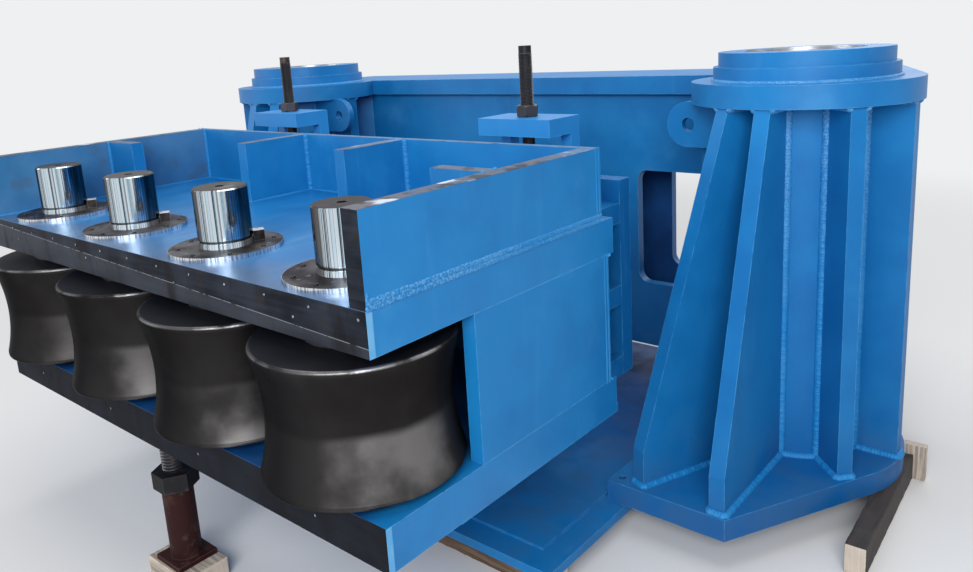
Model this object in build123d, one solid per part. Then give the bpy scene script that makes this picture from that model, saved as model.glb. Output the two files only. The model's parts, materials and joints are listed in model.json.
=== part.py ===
from build123d import *
from math import atan2, cos, degrees, radians, sin, sqrt
import os

# Press bending machine: a roll box with four upright concave rollers, held in
# front of a welded frame with two round columns. Millimetres, +X along the row
# of rollers, +Y from the rollers to the rear frame, +Z up from the floor.
# Positions in Y are laid out from the front face of the roll box slabs, and
# everything is moved at the end so that the origin lies under the middle of
# the plan.

# Rollers and their shafts
roller_pitch = 510.0
roller_count = 4
roller_set_back = 167.0
roller_rim_radius = 252.0
roller_waist_radius = 229.0
roller_rim_land = 14.0
roller_edge_radius = 8.0
roller_bottom_gap = 20.0
roller_top_gap = 36.0
shaft_radius = 73.0
shaft_stub = 174.0
shaft_chamfer = 4.0
shaft_groove_width = 8.0
shaft_groove_depth = 3.0
shaft_groove_above_collar = 14.0
shaft_centre_radius = 12.0
shaft_centre_depth = 30.0
shaft_fit = 0.05
thrust_radius = 120.0
thrust_gap = 0.3
collar_radius = 154.0
collar_thickness = 12.0
keeper_width = 30.0
keeper_depth = 30.0
keeper_height = 30.0
keeper_angle = 62.0

# Roll box, which stands a little to the right of the columns' middle
box_offset = 22.5
slab_depth = 948.0
bottom_slab_underside = 480.0
bottom_slab_thickness = 112.0
throat_height = 388.0
top_slab_thickness = 104.0
side_plate_clearance = 12.0
side_plate_thickness = 40.0
side_plate_front = 326.0
side_plate_back = 920.0
throat_wall_thickness = 50.0
end_plate_height = 211.0
end_plate_thickness = 50.0
end_plate_depth = 890.0
back_wall_thickness = 25.0
deck_rib_thickness = 45.0
deck_rib_front = 600.0
deck_rib_x = 265.0
corner_rib_length = 180.0
corner_rib_thickness = 45.0
corner_rib_front = 447.0

# Columns, measured from the roll box
column_outside_box = 292.5
column_behind_box = 774.0
barrel_radius = 209.0
barrel_wall = 24.0
column_height = 1185.0
rib_thickness = 50.0
rib_head_reach = 352.0
side_rib_reach = 346.0
rib_toe_height = 120.0
raked_rib_angle = 23.0
raked_rib_toe = 700.0
front_rib_toe = 662.0
straight_rib_angles = (45.0, 90.0, 270.0)
rear_rib_angles = (135.0, 225.0)

# Column foot plates, measured from the column's axis
foot_thickness = 72.0
foot_reach = 680.0
foot_toe_inside = 370.0
foot_toe_outside = 33.0
foot_radius = 354.0
foot_bolt_radius = 13.0
foot_bolt_inset_x = 32.0
foot_bolt_inset_y = 40.0

# Sole plate with a raised middle, and its timber packers
packer_height = 66.0
packer_width = 100.0
packer_inset = 20.0
packer_end_inset = 75.0
packer_count = 3
sole_thickness = 30.0
sole_pad_thickness = 8.0
sole_lap_under_foot = 49.0
sole_in_front_of_foot = 425.0
sole_behind_beam = 5.0
sole_strip = 82.0

# Timbers and chocks under the outer edges of the column feet
foot_timber_width = 64.0
foot_timber_length = 650.0
foot_timber_turn = 1.9
foot_timber_outside_column = 348.0
foot_timber_before_column = 482.0
chock_width = 76.0
chock_depth = 32.0
chock_height = 131.0
chock_offset = 32.0
chock_gap = 0.3

# Top flange plate and the machined rings
flange_thickness = 72.0
flange_radius = 360.0
flange_corner_behind_column = 106.0
flange_corner_past_column = 153.0
flange_rear_overhang = 51.0
flange_front_overhang = 36.0
step_ring_radius = 288.0
step_ring_height = 46.0
ring_radius = 272.0
ring_height = 47.0
ring_bore_radius = 190.0

# Cross beam between the columns
web_behind_barrel = 9.0
web_thickness = 40.0
beam_depth = 345.0
web_past_column = 145.0
web_bottom = 269.0
beam_floor_thickness = 30.0
window_inside_column = 390.0
window_width = 360.0
window_height = 486.0
window_below_flange = 317.0
window_corner_radius = 45.0
diaphragm_inside_window = 265.0

# Lifting ears on the columns
ear_thickness = 30.0
ear_in_front_of_column = 94.0
ear_hole_inside_column = 360.0
ear_radius = 80.0
ear_hole_radius = 24.0

# Slide plate and pedestals under the roll box
slide_thickness = 30.0
slide_end_inset = 29.0
slide_front = 266.0
slide_behind_box = 54.0
pedestal_x = 430.0
pedestal_width = 300.0
pedestal_setback = 16.0
pedestal_back_inset = 20.0
pedestal_plate = 30.0

# Carriage behind the roll box, and its hangers
carriage_end_inset = 61.5
carriage_gap = 182.0
carriage_thickness = 60.0
carriage_lift = 34.0
carriage_above_deck = 72.0
spacer_height = 64.0
hanger_inset = 317.0
hanger_block_width = 288.0
hanger_block_overhang = 118.0
hanger_block_depth = 165.0
hanger_block_thickness = 56.0
hanger_post_height = 140.0
hanger_post_thickness = 40.0
stud_radius = 20.5
stud_above_nut = 189.0
stud_fit = 0.3
nut_across_flats = 65.0
nut_height = 38.0

# Screw jack under the front edge
jack_x = -10.0
jack_y = 65.0
jack_block_length = 220.0
jack_block_width = 150.0
jack_block_height = 66.0
jack_base_width = 132.0
jack_base_height = 16.0
jack_tube_radius = 47.0
jack_tube_height = 250.0
jack_nut_radius = 68.0
jack_nut_height = 55.0
jack_screw_radius = 32.0

# Levels, from the floor up
sole_underside = packer_height
sole_top = sole_underside + sole_thickness
pad_top = sole_top + sole_pad_thickness
foot_top = sole_top + foot_thickness
flange_underside = foot_top + column_height
flange_top = flange_underside + flange_thickness
ring_step = flange_top + step_ring_height
ring_top = ring_step + ring_height
slide_underside = bottom_slab_underside - slide_thickness
bottom_slab_top = bottom_slab_underside + bottom_slab_thickness
top_slab_underside = bottom_slab_top + throat_height
deck = top_slab_underside + top_slab_thickness
deck_wall_top = deck + end_plate_height
collar_top = deck + collar_thickness
shaft_top = deck + shaft_stub
roller_bottom = bottom_slab_top + roller_bottom_gap
roller_top = top_slab_underside - roller_top_gap
carriage_bottom = bottom_slab_underside + carriage_lift
carriage_top = deck + carriage_above_deck
hanger_block_bottom = carriage_top + hanger_post_height
hanger_block_top = hanger_block_bottom + hanger_block_thickness
stud_top = hanger_block_top + nut_height + stud_above_nut
window_top = flange_underside - window_below_flange
window_bottom = window_top - window_height

# The row of rollers and the box round it, from the box's own middle
roller_xs = [(i - (roller_count - 1) / 2) * roller_pitch for i in range(roller_count)]
side_plate_behind_roller = side_plate_front - roller_set_back
roller_reach_at_plate = sqrt(max(roller_rim_radius**2 - side_plate_behind_roller**2, 0))
side_plate_inner_x = roller_xs[-1] + roller_reach_at_plate + side_plate_clearance
box_half_length = side_plate_inner_x + side_plate_thickness
back_wall_front = end_plate_depth - back_wall_thickness
slide_back = slab_depth + slide_behind_box

# The rear frame
column_x = box_half_length + column_outside_box
column_y = slab_depth + column_behind_box
barrel_bore = barrel_radius - barrel_wall
foot_front = column_y - foot_reach
web_front_face = column_y + barrel_radius + web_behind_barrel
web_rear_outer_face = web_front_face + beam_depth
web_half_length = column_x + web_past_column
beam_inside_front = web_front_face + web_thickness
beam_inside_back = web_rear_outer_face - web_thickness
flange_front = web_front_face - flange_front_overhang
flange_back = web_rear_outer_face + flange_rear_overhang
flange_rear_corner_x = column_x + flange_corner_past_column
sole_half_length = column_x - foot_radius + sole_lap_under_foot
sole_front = foot_front - sole_in_front_of_foot
sole_back = web_rear_outer_face + sole_behind_beam
pad_front = sole_front + sole_strip
window_outer_x = column_x - window_inside_column
window_inner_x = window_outer_x - window_width
diaphragm_x = window_inner_x - diaphragm_inside_window
ear_hole_x = column_x - ear_hole_inside_column

# The carriage and its hangers
carriage_half_length = box_half_length - carriage_end_inset
carriage_front = slab_depth + carriage_gap
hanger_x = carriage_half_length - hanger_inset
hanger_block_front = carriage_front - hanger_block_overhang
hanger_block_back = hanger_block_front + hanger_block_depth
stud_y = (hanger_block_front + hanger_block_back) / 2

# Middle of the plan, where the origin lies
plan_front = roller_set_back - roller_rim_radius
plan_centre = (plan_front + flange_back) / 2
sides = (("right", 1), ("left", -1))

os.makedirs("parts", exist_ok=True)


def block(x0, x1, y0, y1, z0, z1):
    """A plate or bar between the given faces."""
    return Pos((x0 + x1) / 2, (y0 + y1) / 2, (z0 + z1) / 2) * Box(
        abs(x1 - x0), abs(y1 - y0), abs(z1 - z0)
    )


def disc(x, y, z0, z1, radius):
    """A round bar on a vertical axis."""
    return Pos(x, y, (z0 + z1) / 2) * Cylinder(radius, z1 - z0)


def ring(x, y, z0, z1, radius, bore):
    """A tube on a vertical axis."""
    return disc(x, y, z0, z1, radius) - disc(x, y, z0, z1, bore)


def plate(outline, z0, z1):
    """A flat plate of the given outline."""
    return Pos(0, 0, z0) * extrude(make_face(outline), z1 - z0)


def save(name, *solids, across=0.0):
    """Write one node, moved so that the origin is under the middle of the plan."""
    placed = [Pos(across, -plan_centre, 0) * s for s in solids]
    shape = placed[0] if len(placed) == 1 else Compound(children=placed)
    export_step(shape, f"parts/{name}.step")


# Floor packing and sole plate
def timber_packers():
    reach = sole_half_length - packer_inset
    first = sole_front + packer_end_inset
    step = (sole_back - packer_end_inset - first) / (packer_count - 1)
    rows = []
    for i in range(packer_count):
        y = first + i * step
        rows.append(
            block(-reach, reach, y - packer_width / 2, y + packer_width / 2, 0, packer_height)
        )
    return rows


def sole_plate():
    plate_body = block(
        -sole_half_length, sole_half_length, sole_front, sole_back, sole_underside, sole_top
    )
    pad_half = sole_half_length - sole_strip
    pad = block(-pad_half, pad_half, pad_front, sole_back, sole_top, pad_top)
    return plate_body + pad


foot_timber_x = column_x + foot_timber_outside_column
foot_timber_front = column_y - foot_timber_before_column


def foot_timbers():
    """A timber under the outer edge of each foot plate, a little askew."""
    bar = block(
        -foot_timber_width / 2, foot_timber_width / 2, 0, foot_timber_length, 0, sole_top
    )
    right = Pos(foot_timber_x, foot_timber_front, 0) * Rot(0, 0, foot_timber_turn) * bar
    return [right if side > 0 else mirror(right, Plane.YZ) for _, side in sides]


def foot_chocks():
    """A taller block that stops each timber from sliding back."""
    turn = radians(foot_timber_turn)
    end_x = foot_timber_x - foot_timber_length * sin(turn)
    end_y = foot_timber_front + foot_timber_length * cos(turn)
    front = end_y + foot_timber_width / 2 * sin(turn) + chock_gap
    middle = end_x + chock_offset
    right = block(
        middle - chock_width / 2,
        middle + chock_width / 2,
        front,
        front + chock_depth,
        0,
        chock_height,
    )
    return [right if side > 0 else mirror(right, Plane.YZ) for _, side in sides]


# Columns
def foot_plate(side):
    """Plate under a column: round at the back, drawn out to a flat toe in front."""
    inner_tangent = Vector(column_x - foot_radius, column_y)
    toe = Vector(column_x + foot_toe_outside, foot_front)
    reach = Vector(column_x, column_y) - toe
    to_centre = degrees(atan2(reach.Y, reach.X))
    tangent_length = sqrt(reach.length**2 - foot_radius**2)
    half_angle = degrees(atan2(foot_radius, tangent_length))
    heading = radians(to_centre - half_angle)
    outer_tangent = toe + Vector(cos(heading), sin(heading)) * tangent_length
    inner_toe = Vector(column_x - foot_toe_inside, foot_front)
    outline = [
        Line(inner_toe, toe),
        Line(toe, outer_tangent),
        ThreePointArc(outer_tangent, (column_x, column_y + foot_radius), inner_tangent),
        Line(inner_tangent, inner_toe),
    ]
    foot = plate(outline, sole_top, foot_top)
    hole_x = column_x - foot_toe_inside + foot_bolt_inset_x
    foot -= disc(
        hole_x, foot_front + foot_bolt_inset_y, sole_top, foot_top, foot_bolt_radius
    )
    return foot if side > 0 else mirror(foot, Plane.YZ)


def rib(angle, toe_reach, side):
    """A gusset standing on the foot plate; angle 0 points to the front."""
    start = sqrt(barrel_radius**2 - (rib_thickness / 2) ** 2)
    profile = [(start, 0), (toe_reach, 0)]
    if toe_reach > rib_head_reach:
        profile += [(toe_reach, rib_toe_height), (rib_head_reach, column_height)]
    else:
        profile += [(toe_reach, column_height)]
    profile += [(start, column_height)]
    face = make_face(Polyline(*profile, close=True))
    body = extrude(Plane.XZ * face, rib_thickness / 2, both=True)
    heading = angle - 90 if side > 0 else -90 - angle
    return Pos(side * column_x, column_y, foot_top) * Rot(0, 0, heading) * body


def column_ribs(side):
    barrel = disc(side * column_x, column_y, foot_top, flange_underside, barrel_radius)
    behind = block(
        -web_half_length * 2,
        web_half_length * 2,
        web_front_face,
        web_front_face + flange_radius,
        foot_top,
        flange_underside,
    )
    ribs = [rib(-raked_rib_angle, raked_rib_toe, side), rib(0, front_rib_toe, side)]
    ribs += [rib(angle, side_rib_reach, side) for angle in straight_rib_angles]
    ribs += [rib(angle, side_rib_reach, side) - behind for angle in rear_rib_angles]
    return [one - barrel for one in ribs]


def column_barrel(side):
    return ring(side * column_x, column_y, foot_top, flange_underside, barrel_radius, barrel_bore)


def column_ring(side):
    x = side * column_x
    low = disc(x, column_y, flange_top, ring_step, step_ring_radius)
    high = disc(x, column_y, ring_step, ring_top, ring_radius)
    bore = disc(x, column_y, flange_top, ring_top, ring_bore_radius)
    return low + high - bore


def top_flange():
    """One plate round both columns and over the beam."""
    front_rise = flange_front - column_y
    inner = column_x - sqrt(flange_radius**2 - front_rise**2)
    corner_x = column_x + sqrt(flange_radius**2 - flange_corner_behind_column**2)
    corner_y = column_y + flange_corner_behind_column
    nose = (column_x, column_y - flange_radius)
    outline = [
        Line((-inner, flange_front), (inner, flange_front)),
        ThreePointArc((inner, flange_front), nose, (corner_x, corner_y)),
        Line((corner_x, corner_y), (flange_rear_corner_x, flange_back)),
        Line((flange_rear_corner_x, flange_back), (-flange_rear_corner_x, flange_back)),
        Line((-flange_rear_corner_x, flange_back), (-corner_x, corner_y)),
        ThreePointArc((-corner_x, corner_y), (-nose[0], nose[1]), (-inner, flange_front)),
    ]
    flange = plate(outline, flange_underside, flange_top)
    for _, side in sides:
        flange -= disc(side * column_x, column_y, flange_underside, flange_top, barrel_bore)
    return flange


# Cross beam
def beam_web(face_y):
    web = block(
        -web_half_length,
        web_half_length,
        face_y,
        face_y + web_thickness,
        web_bottom,
        flange_underside,
    )
    for _, side in sides:
        window = RectangleRounded(
            window_outer_x - window_inner_x, window_top - window_bottom, window_corner_radius
        )
        cutter = extrude(Plane.XZ * window, web_thickness, both=True)
        centre_x = side * (window_inner_x + window_outer_x) / 2
        centre_z = (window_bottom + window_top) / 2
        web -= Pos(centre_x, face_y + web_thickness / 2, centre_z) * cutter
    return web


def beam_floor():
    return block(
        -web_half_length + web_thickness,
        web_half_length - web_thickness,
        beam_inside_front,
        beam_inside_back,
        web_bottom,
        web_bottom + beam_floor_thickness,
    )


def beam_diaphragms():
    walls = []
    for _, side in sides:
        ends = (
            (web_half_length - web_thickness, web_half_length, web_bottom),
            (diaphragm_x, diaphragm_x + web_thickness, web_bottom + beam_floor_thickness),
        )
        for inner, outer, bottom in ends:
            walls.append(
                block(
                    side * inner,
                    side * outer,
                    beam_inside_front,
                    beam_inside_back,
                    bottom,
                    flange_underside,
                )
            )
    return walls


def lifting_ears():
    """Round-ended plates welded between the barrel and the flange."""
    y = column_y - ear_in_front_of_column
    ears = []
    for _, side in sides:
        rear_offset = ear_in_front_of_column - ear_thickness / 2
        root_x = column_x - sqrt(barrel_radius**2 - rear_offset**2)
        centre_z = flange_underside - ear_radius
        body = block(
            side * ear_hole_x,
            side * (root_x + barrel_wall / 2),
            y - ear_thickness / 2,
            y + ear_thickness / 2,
            flange_underside - 2 * ear_radius,
            flange_underside,
        )
        eye = Pos(side * ear_hole_x, y, centre_z) * Rot(90, 0, 0)
        body += eye * Cylinder(ear_radius, ear_thickness)
        body -= eye * Cylinder(ear_hole_radius, ear_thickness)
        body -= disc(side * column_x, column_y, foot_top, flange_underside, barrel_radius)
        ears.append(body)
    return ears


# Roll box
def shaft_holes(z0, z1):
    return [disc(x, roller_set_back, z0, z1, shaft_radius + shaft_fit) for x in roller_xs]


def slab(z0, z1):
    body = block(-box_half_length, box_half_length, 0, slab_depth, z0, z1)
    for hole in shaft_holes(z0, z1):
        body -= hole
    return body


def side_plate(side):
    return block(
        side * side_plate_inner_x,
        side * box_half_length,
        side_plate_front,
        side_plate_back,
        bottom_slab_top,
        top_slab_underside,
    )


def throat_wall():
    return block(
        -side_plate_inner_x,
        side_plate_inner_x,
        side_plate_back - throat_wall_thickness,
        side_plate_back,
        bottom_slab_top,
        top_slab_underside,
    )


def end_plate(side):
    return block(
        side * (box_half_length - end_plate_thickness),
        side * box_half_length,
        0,
        end_plate_depth,
        deck,
        deck_wall_top,
    )


def back_wall():
    reach = box_half_length - end_plate_thickness
    return block(-reach, reach, back_wall_front, end_plate_depth, deck, deck_wall_top)


def deck_ribs():
    half = deck_rib_thickness / 2
    return [
        block(x - half, x + half, deck_rib_front, back_wall_front, deck, deck_wall_top)
        for x in (-deck_rib_x, deck_rib_x)
    ]


def corner_ribs():
    outer = box_half_length - end_plate_thickness
    return [
        block(
            side * (outer - corner_rib_length),
            side * outer,
            corner_rib_front,
            corner_rib_front + corner_rib_thickness,
            deck,
            deck_wall_top,
        )
        for _, side in sides
    ]


# Rollers
def roller(x):
    """Upright roller with a hollow waist, turning on its shaft."""
    bore = shaft_radius + shaft_fit
    height = roller_top - roller_bottom
    low = (roller_rim_radius, roller_rim_land)
    waist = (roller_waist_radius, height / 2)
    high = (roller_rim_radius, height - roller_rim_land)
    profile = [
        Polyline((bore, 0), (roller_rim_radius, 0), low),
        ThreePointArc(low, waist, high),
        Polyline(high, (roller_rim_radius, height), (bore, height), (bore, 0)),
    ]
    body = revolve(Plane.XZ * make_face(profile), Axis.Z)
    faces = body.faces().filter_by(Axis.Z)
    rims = [face.outer_wire().edges()[0] for face in faces]
    body = fillet(rims, roller_edge_radius)
    return Pos(x, roller_set_back, roller_bottom) * body


def roller_shaft(x):
    groove_low = collar_top + shaft_groove_above_collar
    groove_high = groove_low + shaft_groove_width
    shaft = Cylinder(shaft_radius, shaft_top - bottom_slab_underside)
    shaft = chamfer(shaft.edges().filter_by(GeomType.CIRCLE), shaft_chamfer)
    shaft = Pos(x, roller_set_back, (shaft_top + bottom_slab_underside) / 2) * shaft
    groove_radius = shaft_radius - shaft_groove_depth
    shaft -= ring(x, roller_set_back, groove_low, groove_high, shaft_radius * 2, groove_radius)
    centre = disc(x, roller_set_back, shaft_top - shaft_centre_depth, shaft_top, shaft_centre_radius)
    return shaft - centre


def shaft_collar(x):
    return ring(x, roller_set_back, deck, collar_top, collar_radius, shaft_radius + shaft_fit)


def shaft_keeper(x):
    """Small block on the collar that stops the shaft from turning."""
    reach = shaft_radius + shaft_fit + keeper_depth / 2
    body = Pos(reach, 0, 0) * Box(keeper_depth, keeper_width, keeper_height)
    body -= Cylinder(shaft_radius + shaft_fit, keeper_height)
    height = collar_top + keeper_height / 2
    return Pos(x, roller_set_back, height) * Rot(0, 0, keeper_angle) * body


def thrust_collars():
    collars = []
    for x in roller_xs:
        bore = shaft_radius + shaft_fit
        low_top = roller_bottom - thrust_gap
        high_bottom = roller_top + thrust_gap
        collars.append(ring(x, roller_set_back, bottom_slab_top, low_top, thrust_radius, bore))
        collars.append(
            ring(x, roller_set_back, high_bottom, top_slab_underside, thrust_radius, bore)
        )
    return collars


# Slide plate, pedestals and carriage
def slide_plate():
    reach = box_half_length - slide_end_inset
    return block(-reach, reach, slide_front, slide_back, slide_underside, bottom_slab_underside)


def pedestals():
    """Two welded stands of I section between the sole plate and the slide plate."""
    front = pad_front + pedestal_setback
    back = slab_depth - pedestal_back_inset
    low_top = pad_top + pedestal_plate
    high_bottom = slide_underside - pedestal_plate
    stands = []
    for _, side in sides:
        mid = side * pedestal_x
        x0 = mid - pedestal_width / 2
        x1 = mid + pedestal_width / 2
        low = block(x0, x1, front, back, pad_top, low_top)
        high = block(x0, x1, front, back, high_bottom, slide_underside)
        half = pedestal_plate / 2
        web = block(mid - half, mid + half, front, back, low_top, high_bottom)
        stands.append(low + web + high)
    return stands


def carriage_plate():
    return block(
        -carriage_half_length,
        carriage_half_length,
        carriage_front,
        carriage_front + carriage_thickness,
        carriage_bottom,
        carriage_top,
    )


spacer_levels = (
    (carriage_bottom, slab_depth),
    ((bottom_slab_top + top_slab_underside - spacer_height) / 2, side_plate_back),
    (deck - spacer_height, slab_depth),
)


def carriage_spacers():
    bars = [
        block(
            -carriage_half_length,
            carriage_half_length,
            seat,
            carriage_front,
            level,
            level + spacer_height,
        )
        for level, seat in spacer_levels
    ]
    for _, side in sides:
        bars[-1] -= disc(
            side * hanger_x, stud_y, deck - spacer_height, deck, stud_radius + stud_fit
        )
    return bars


def hanger_block(side):
    """Block over the carriage plate on two short posts, with the stud through it."""
    half = hanger_block_width / 2
    x = side * hanger_x
    low, top = hanger_block_bottom, hanger_block_top
    body = block(x - half, x + half, hanger_block_front, hanger_block_back, low, top)
    for foot in (-1, 1):
        outer = x + foot * half
        body += block(
            outer - foot * hanger_post_thickness,
            outer,
            carriage_front,
            hanger_block_back,
            carriage_top,
            hanger_block_bottom,
        )
    return body - disc(x, stud_y, low, top, stud_radius + stud_fit)


def hanger_studs():
    return [
        disc(side * hanger_x, stud_y, deck - spacer_height, stud_top, stud_radius)
        for _, side in sides
    ]


def hanger_nuts():
    nuts = []
    for _, side in sides:
        hexagon = RegularPolygon(nut_across_flats / 2, 6, major_radius=False)
        nut = extrude(hexagon, nut_height) - Pos(0, 0, nut_height / 2) * Cylinder(
            stud_radius + stud_fit, nut_height
        )
        nuts.append(Pos(side * hanger_x, stud_y, hanger_block_top) * nut)
    return nuts


# Screw jack
def jack_block():
    return block(
        jack_x - jack_block_length / 2,
        jack_x + jack_block_length / 2,
        jack_y - jack_block_width / 2,
        jack_y + jack_block_width / 2,
        0,
        jack_block_height,
    )


jack_tube_top = jack_block_height + jack_tube_height


def screw_jack():
    """Tube on a square base plate."""
    base_top = jack_block_height + jack_base_height
    half = jack_base_width / 2
    base = block(
        jack_x - half, jack_x + half, jack_y - half, jack_y + half, jack_block_height, base_top
    )
    return base + disc(jack_x, jack_y, base_top, jack_tube_top, jack_tube_radius)


def jack_screw():
    """Screw with the hexagon nut that rests on the tube and carries the slab."""
    hexagon = RegularPolygon(jack_nut_radius, 6)
    nut = Pos(jack_x, jack_y, jack_tube_top) * extrude(hexagon, jack_nut_height)
    return nut + disc(jack_x, jack_y, jack_tube_top, bottom_slab_underside, jack_screw_radius)


save("timber_packers", *timber_packers())
save("sole_plate", sole_plate())
save("foot_timbers", *foot_timbers())
save("foot_chocks", *foot_chocks())
for name, side in sides:
    save(f"foot_plate_{name}", foot_plate(side))
    save(f"column_barrel_{name}", column_barrel(side))
    save(f"column_ribs_{name}", *column_ribs(side))
    save(f"column_ring_{name}", column_ring(side))
    save(f"side_plate_{name}", side_plate(side), across=box_offset)
    save(f"end_plate_{name}", end_plate(side), across=box_offset)
    save(f"hanger_block_{name}", hanger_block(side))
save("top_flange", top_flange())
save("beam_front_web", beam_web(web_front_face))
save("beam_rear_web", beam_web(web_rear_outer_face - web_thickness))
save("beam_floor", beam_floor())
save("beam_diaphragms", *beam_diaphragms())
save("lifting_ears", *lifting_ears())
save("bottom_slab", slab(bottom_slab_underside, bottom_slab_top), across=box_offset)
save("top_slab", slab(top_slab_underside, deck), across=box_offset)
save("throat_wall", throat_wall(), across=box_offset)
save("back_wall", back_wall(), across=box_offset)
save("deck_ribs", *deck_ribs())
save("corner_ribs", *corner_ribs(), across=box_offset)
for number, x in enumerate(roller_xs, start=1):
    save(f"roller_{number}", roller(x), across=box_offset)
save("roller_shafts", *[roller_shaft(x) for x in roller_xs], across=box_offset)
save("shaft_collars", *[shaft_collar(x) for x in roller_xs], across=box_offset)
save("shaft_keepers", *[shaft_keeper(x) for x in roller_xs], across=box_offset)
save("thrust_collars", *thrust_collars(), across=box_offset)
save("slide_plate", slide_plate(), across=box_offset)
save("pedestals", *pedestals())
save("carriage_plate", carriage_plate())
save("carriage_spacers", *carriage_spacers())
save("hanger_studs", *hanger_studs())
save("hanger_nuts", *hanger_nuts())
save("jack_block", jack_block())
save("screw_jack", screw_jack())
save("jack_screw", jack_screw())
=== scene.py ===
"""Looks for the press bending machine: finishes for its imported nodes, and its fine pieces.

Everything is in metres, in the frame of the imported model: +X along the row of rollers,
+Y from the rollers to the rear frame, +Z up from the floor.
"""

import json
import math
from contextlib import contextmanager
import bpy
import numpy as np
from bpy.props import FloatProperty, FloatVectorProperty, PointerProperty
from mathutils import Matrix, Vector

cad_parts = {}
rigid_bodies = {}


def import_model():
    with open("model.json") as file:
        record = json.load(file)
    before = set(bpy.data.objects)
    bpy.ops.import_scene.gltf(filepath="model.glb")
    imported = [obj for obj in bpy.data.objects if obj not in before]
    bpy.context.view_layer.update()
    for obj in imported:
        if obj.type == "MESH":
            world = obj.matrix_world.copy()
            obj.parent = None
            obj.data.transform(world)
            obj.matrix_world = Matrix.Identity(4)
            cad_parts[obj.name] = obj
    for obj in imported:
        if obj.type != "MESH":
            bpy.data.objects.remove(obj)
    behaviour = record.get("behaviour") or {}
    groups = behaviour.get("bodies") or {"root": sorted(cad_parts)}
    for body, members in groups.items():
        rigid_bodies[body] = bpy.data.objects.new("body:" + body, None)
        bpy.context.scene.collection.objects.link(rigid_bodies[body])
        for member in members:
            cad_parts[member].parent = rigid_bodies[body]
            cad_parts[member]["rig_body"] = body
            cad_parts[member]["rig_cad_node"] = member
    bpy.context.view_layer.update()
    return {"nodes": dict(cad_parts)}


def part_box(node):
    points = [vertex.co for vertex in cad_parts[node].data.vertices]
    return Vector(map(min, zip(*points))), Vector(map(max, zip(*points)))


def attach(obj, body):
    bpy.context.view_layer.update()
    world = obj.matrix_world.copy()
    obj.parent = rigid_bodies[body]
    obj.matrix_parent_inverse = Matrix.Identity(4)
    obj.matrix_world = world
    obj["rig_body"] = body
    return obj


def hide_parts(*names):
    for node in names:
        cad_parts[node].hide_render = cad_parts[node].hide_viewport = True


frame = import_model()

bl_info = {
    "name": "Press bending machine",
    "version": (1, 0, 0),
    "blender": (4, 5, 0),
    "location": "View3D > Sidebar > Machine",
    "description": "Finishes and fine pieces for the packed press bending machine",
    "category": "Object",
}

X = Vector((1, 0, 0))
Y = Vector((0, 1, 0))
Z = Vector((0, 0, 1))
SIDES = (("right", 1), ("left", -1))

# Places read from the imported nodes
TOP_SLAB_LOW, TOP_SLAB_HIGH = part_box("top_slab")
BOTTOM_SLAB_LOW, BOTTOM_SLAB_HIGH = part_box("bottom_slab")
BOX_MIDDLE = (TOP_SLAB_LOW.x + TOP_SLAB_HIGH.x) / 2
BOX_HALF = (TOP_SLAB_HIGH.x - TOP_SLAB_LOW.x) / 2
FRONT = TOP_SLAB_LOW.y
DECK = TOP_SLAB_HIGH.z
WALL_LOW, WALL_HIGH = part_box("back_wall")
WALL_TOP = WALL_HIGH.z
END_PLATE_LOW, END_PLATE_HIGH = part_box("end_plate_right")
END_PLATE = END_PLATE_HIGH.x - END_PLATE_LOW.x
ROLLER_BOXES = [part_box(f"roller_{i}") for i in range(1, 5)]
ROLLER_LOW, ROLLER_HIGH = ROLLER_BOXES[0]
ROLLER_XS = [(low.x + high.x) / 2 for low, high in ROLLER_BOXES]
ROLLER_PITCH = ROLLER_XS[1] - ROLLER_XS[0]
ROLLER_Y = (ROLLER_LOW.y + ROLLER_HIGH.y) / 2
ROLLER_RADIUS = (ROLLER_HIGH.y - ROLLER_LOW.y) / 2
COLLAR_LOW, COLLAR_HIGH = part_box("shaft_collars")
COLLAR_RADIUS = (COLLAR_HIGH.y - COLLAR_LOW.y) / 2
SHAFT_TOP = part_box("roller_shafts")[1].z
KEEPER_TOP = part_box("shaft_keepers")[1].z
BARREL_LOW, BARREL_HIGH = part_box("column_barrel_right")
COLUMN_X = (BARREL_LOW.x + BARREL_HIGH.x) / 2
COLUMN_Y = (BARREL_LOW.y + BARREL_HIGH.y) / 2
BARREL_RADIUS = (BARREL_HIGH.x - BARREL_LOW.x) / 2
FOOT_TOP = BARREL_LOW.z
FLANGE_LOW, FLANGE_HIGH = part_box("top_flange")
FRONT_WEB_LOW, FRONT_WEB_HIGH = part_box("beam_front_web")
REAR_WEB_LOW, REAR_WEB_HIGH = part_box("beam_rear_web")
STUD_LOW, STUD_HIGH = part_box("hanger_studs")
NUT_LOW, NUT_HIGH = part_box("hanger_nuts")
STUD_RADIUS = (STUD_HIGH.y - STUD_LOW.y) / 2
STUD_X = STUD_HIGH.x - STUD_RADIUS
STUD_Y = (STUD_HIGH.y + STUD_LOW.y) / 2
JACK_LOW, JACK_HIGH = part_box("jack_screw")
JACK_X = (JACK_LOW.x + JACK_HIGH.x) / 2
JACK_Y = (JACK_LOW.y + JACK_HIGH.y) / 2

# Shapes of the built-up nodes that a box doesn't give
RIB_THICKNESS = 0.050
DECK_RIB_THICKNESS = 0.045
CORNER_RIB_LENGTH = 0.180
SIDE_RIB_REACH = 0.346
RIB_HEAD_REACH = 0.352
RAKED_RIB_ANGLE = -23.0
RAKED_RIB_TOE = 0.700
FRONT_RIB_TOE = 0.662
STRAIGHT_RIB_ANGLES = (45.0, 90.0, 270.0)
REAR_RIB_ANGLES = (135.0, 225.0)
RING_BORE_RADIUS = 0.190
RING_STEP_RADIUS = 0.288
GROOVE_HEIGHT = 0.014
GROOVE_MIDDLE = COLLAR_HIGH.z + GROOVE_HEIGHT + 0.005
JACK_SCREW_RADIUS = 0.032
JACK_NUT_HEIGHT = 0.055

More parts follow.
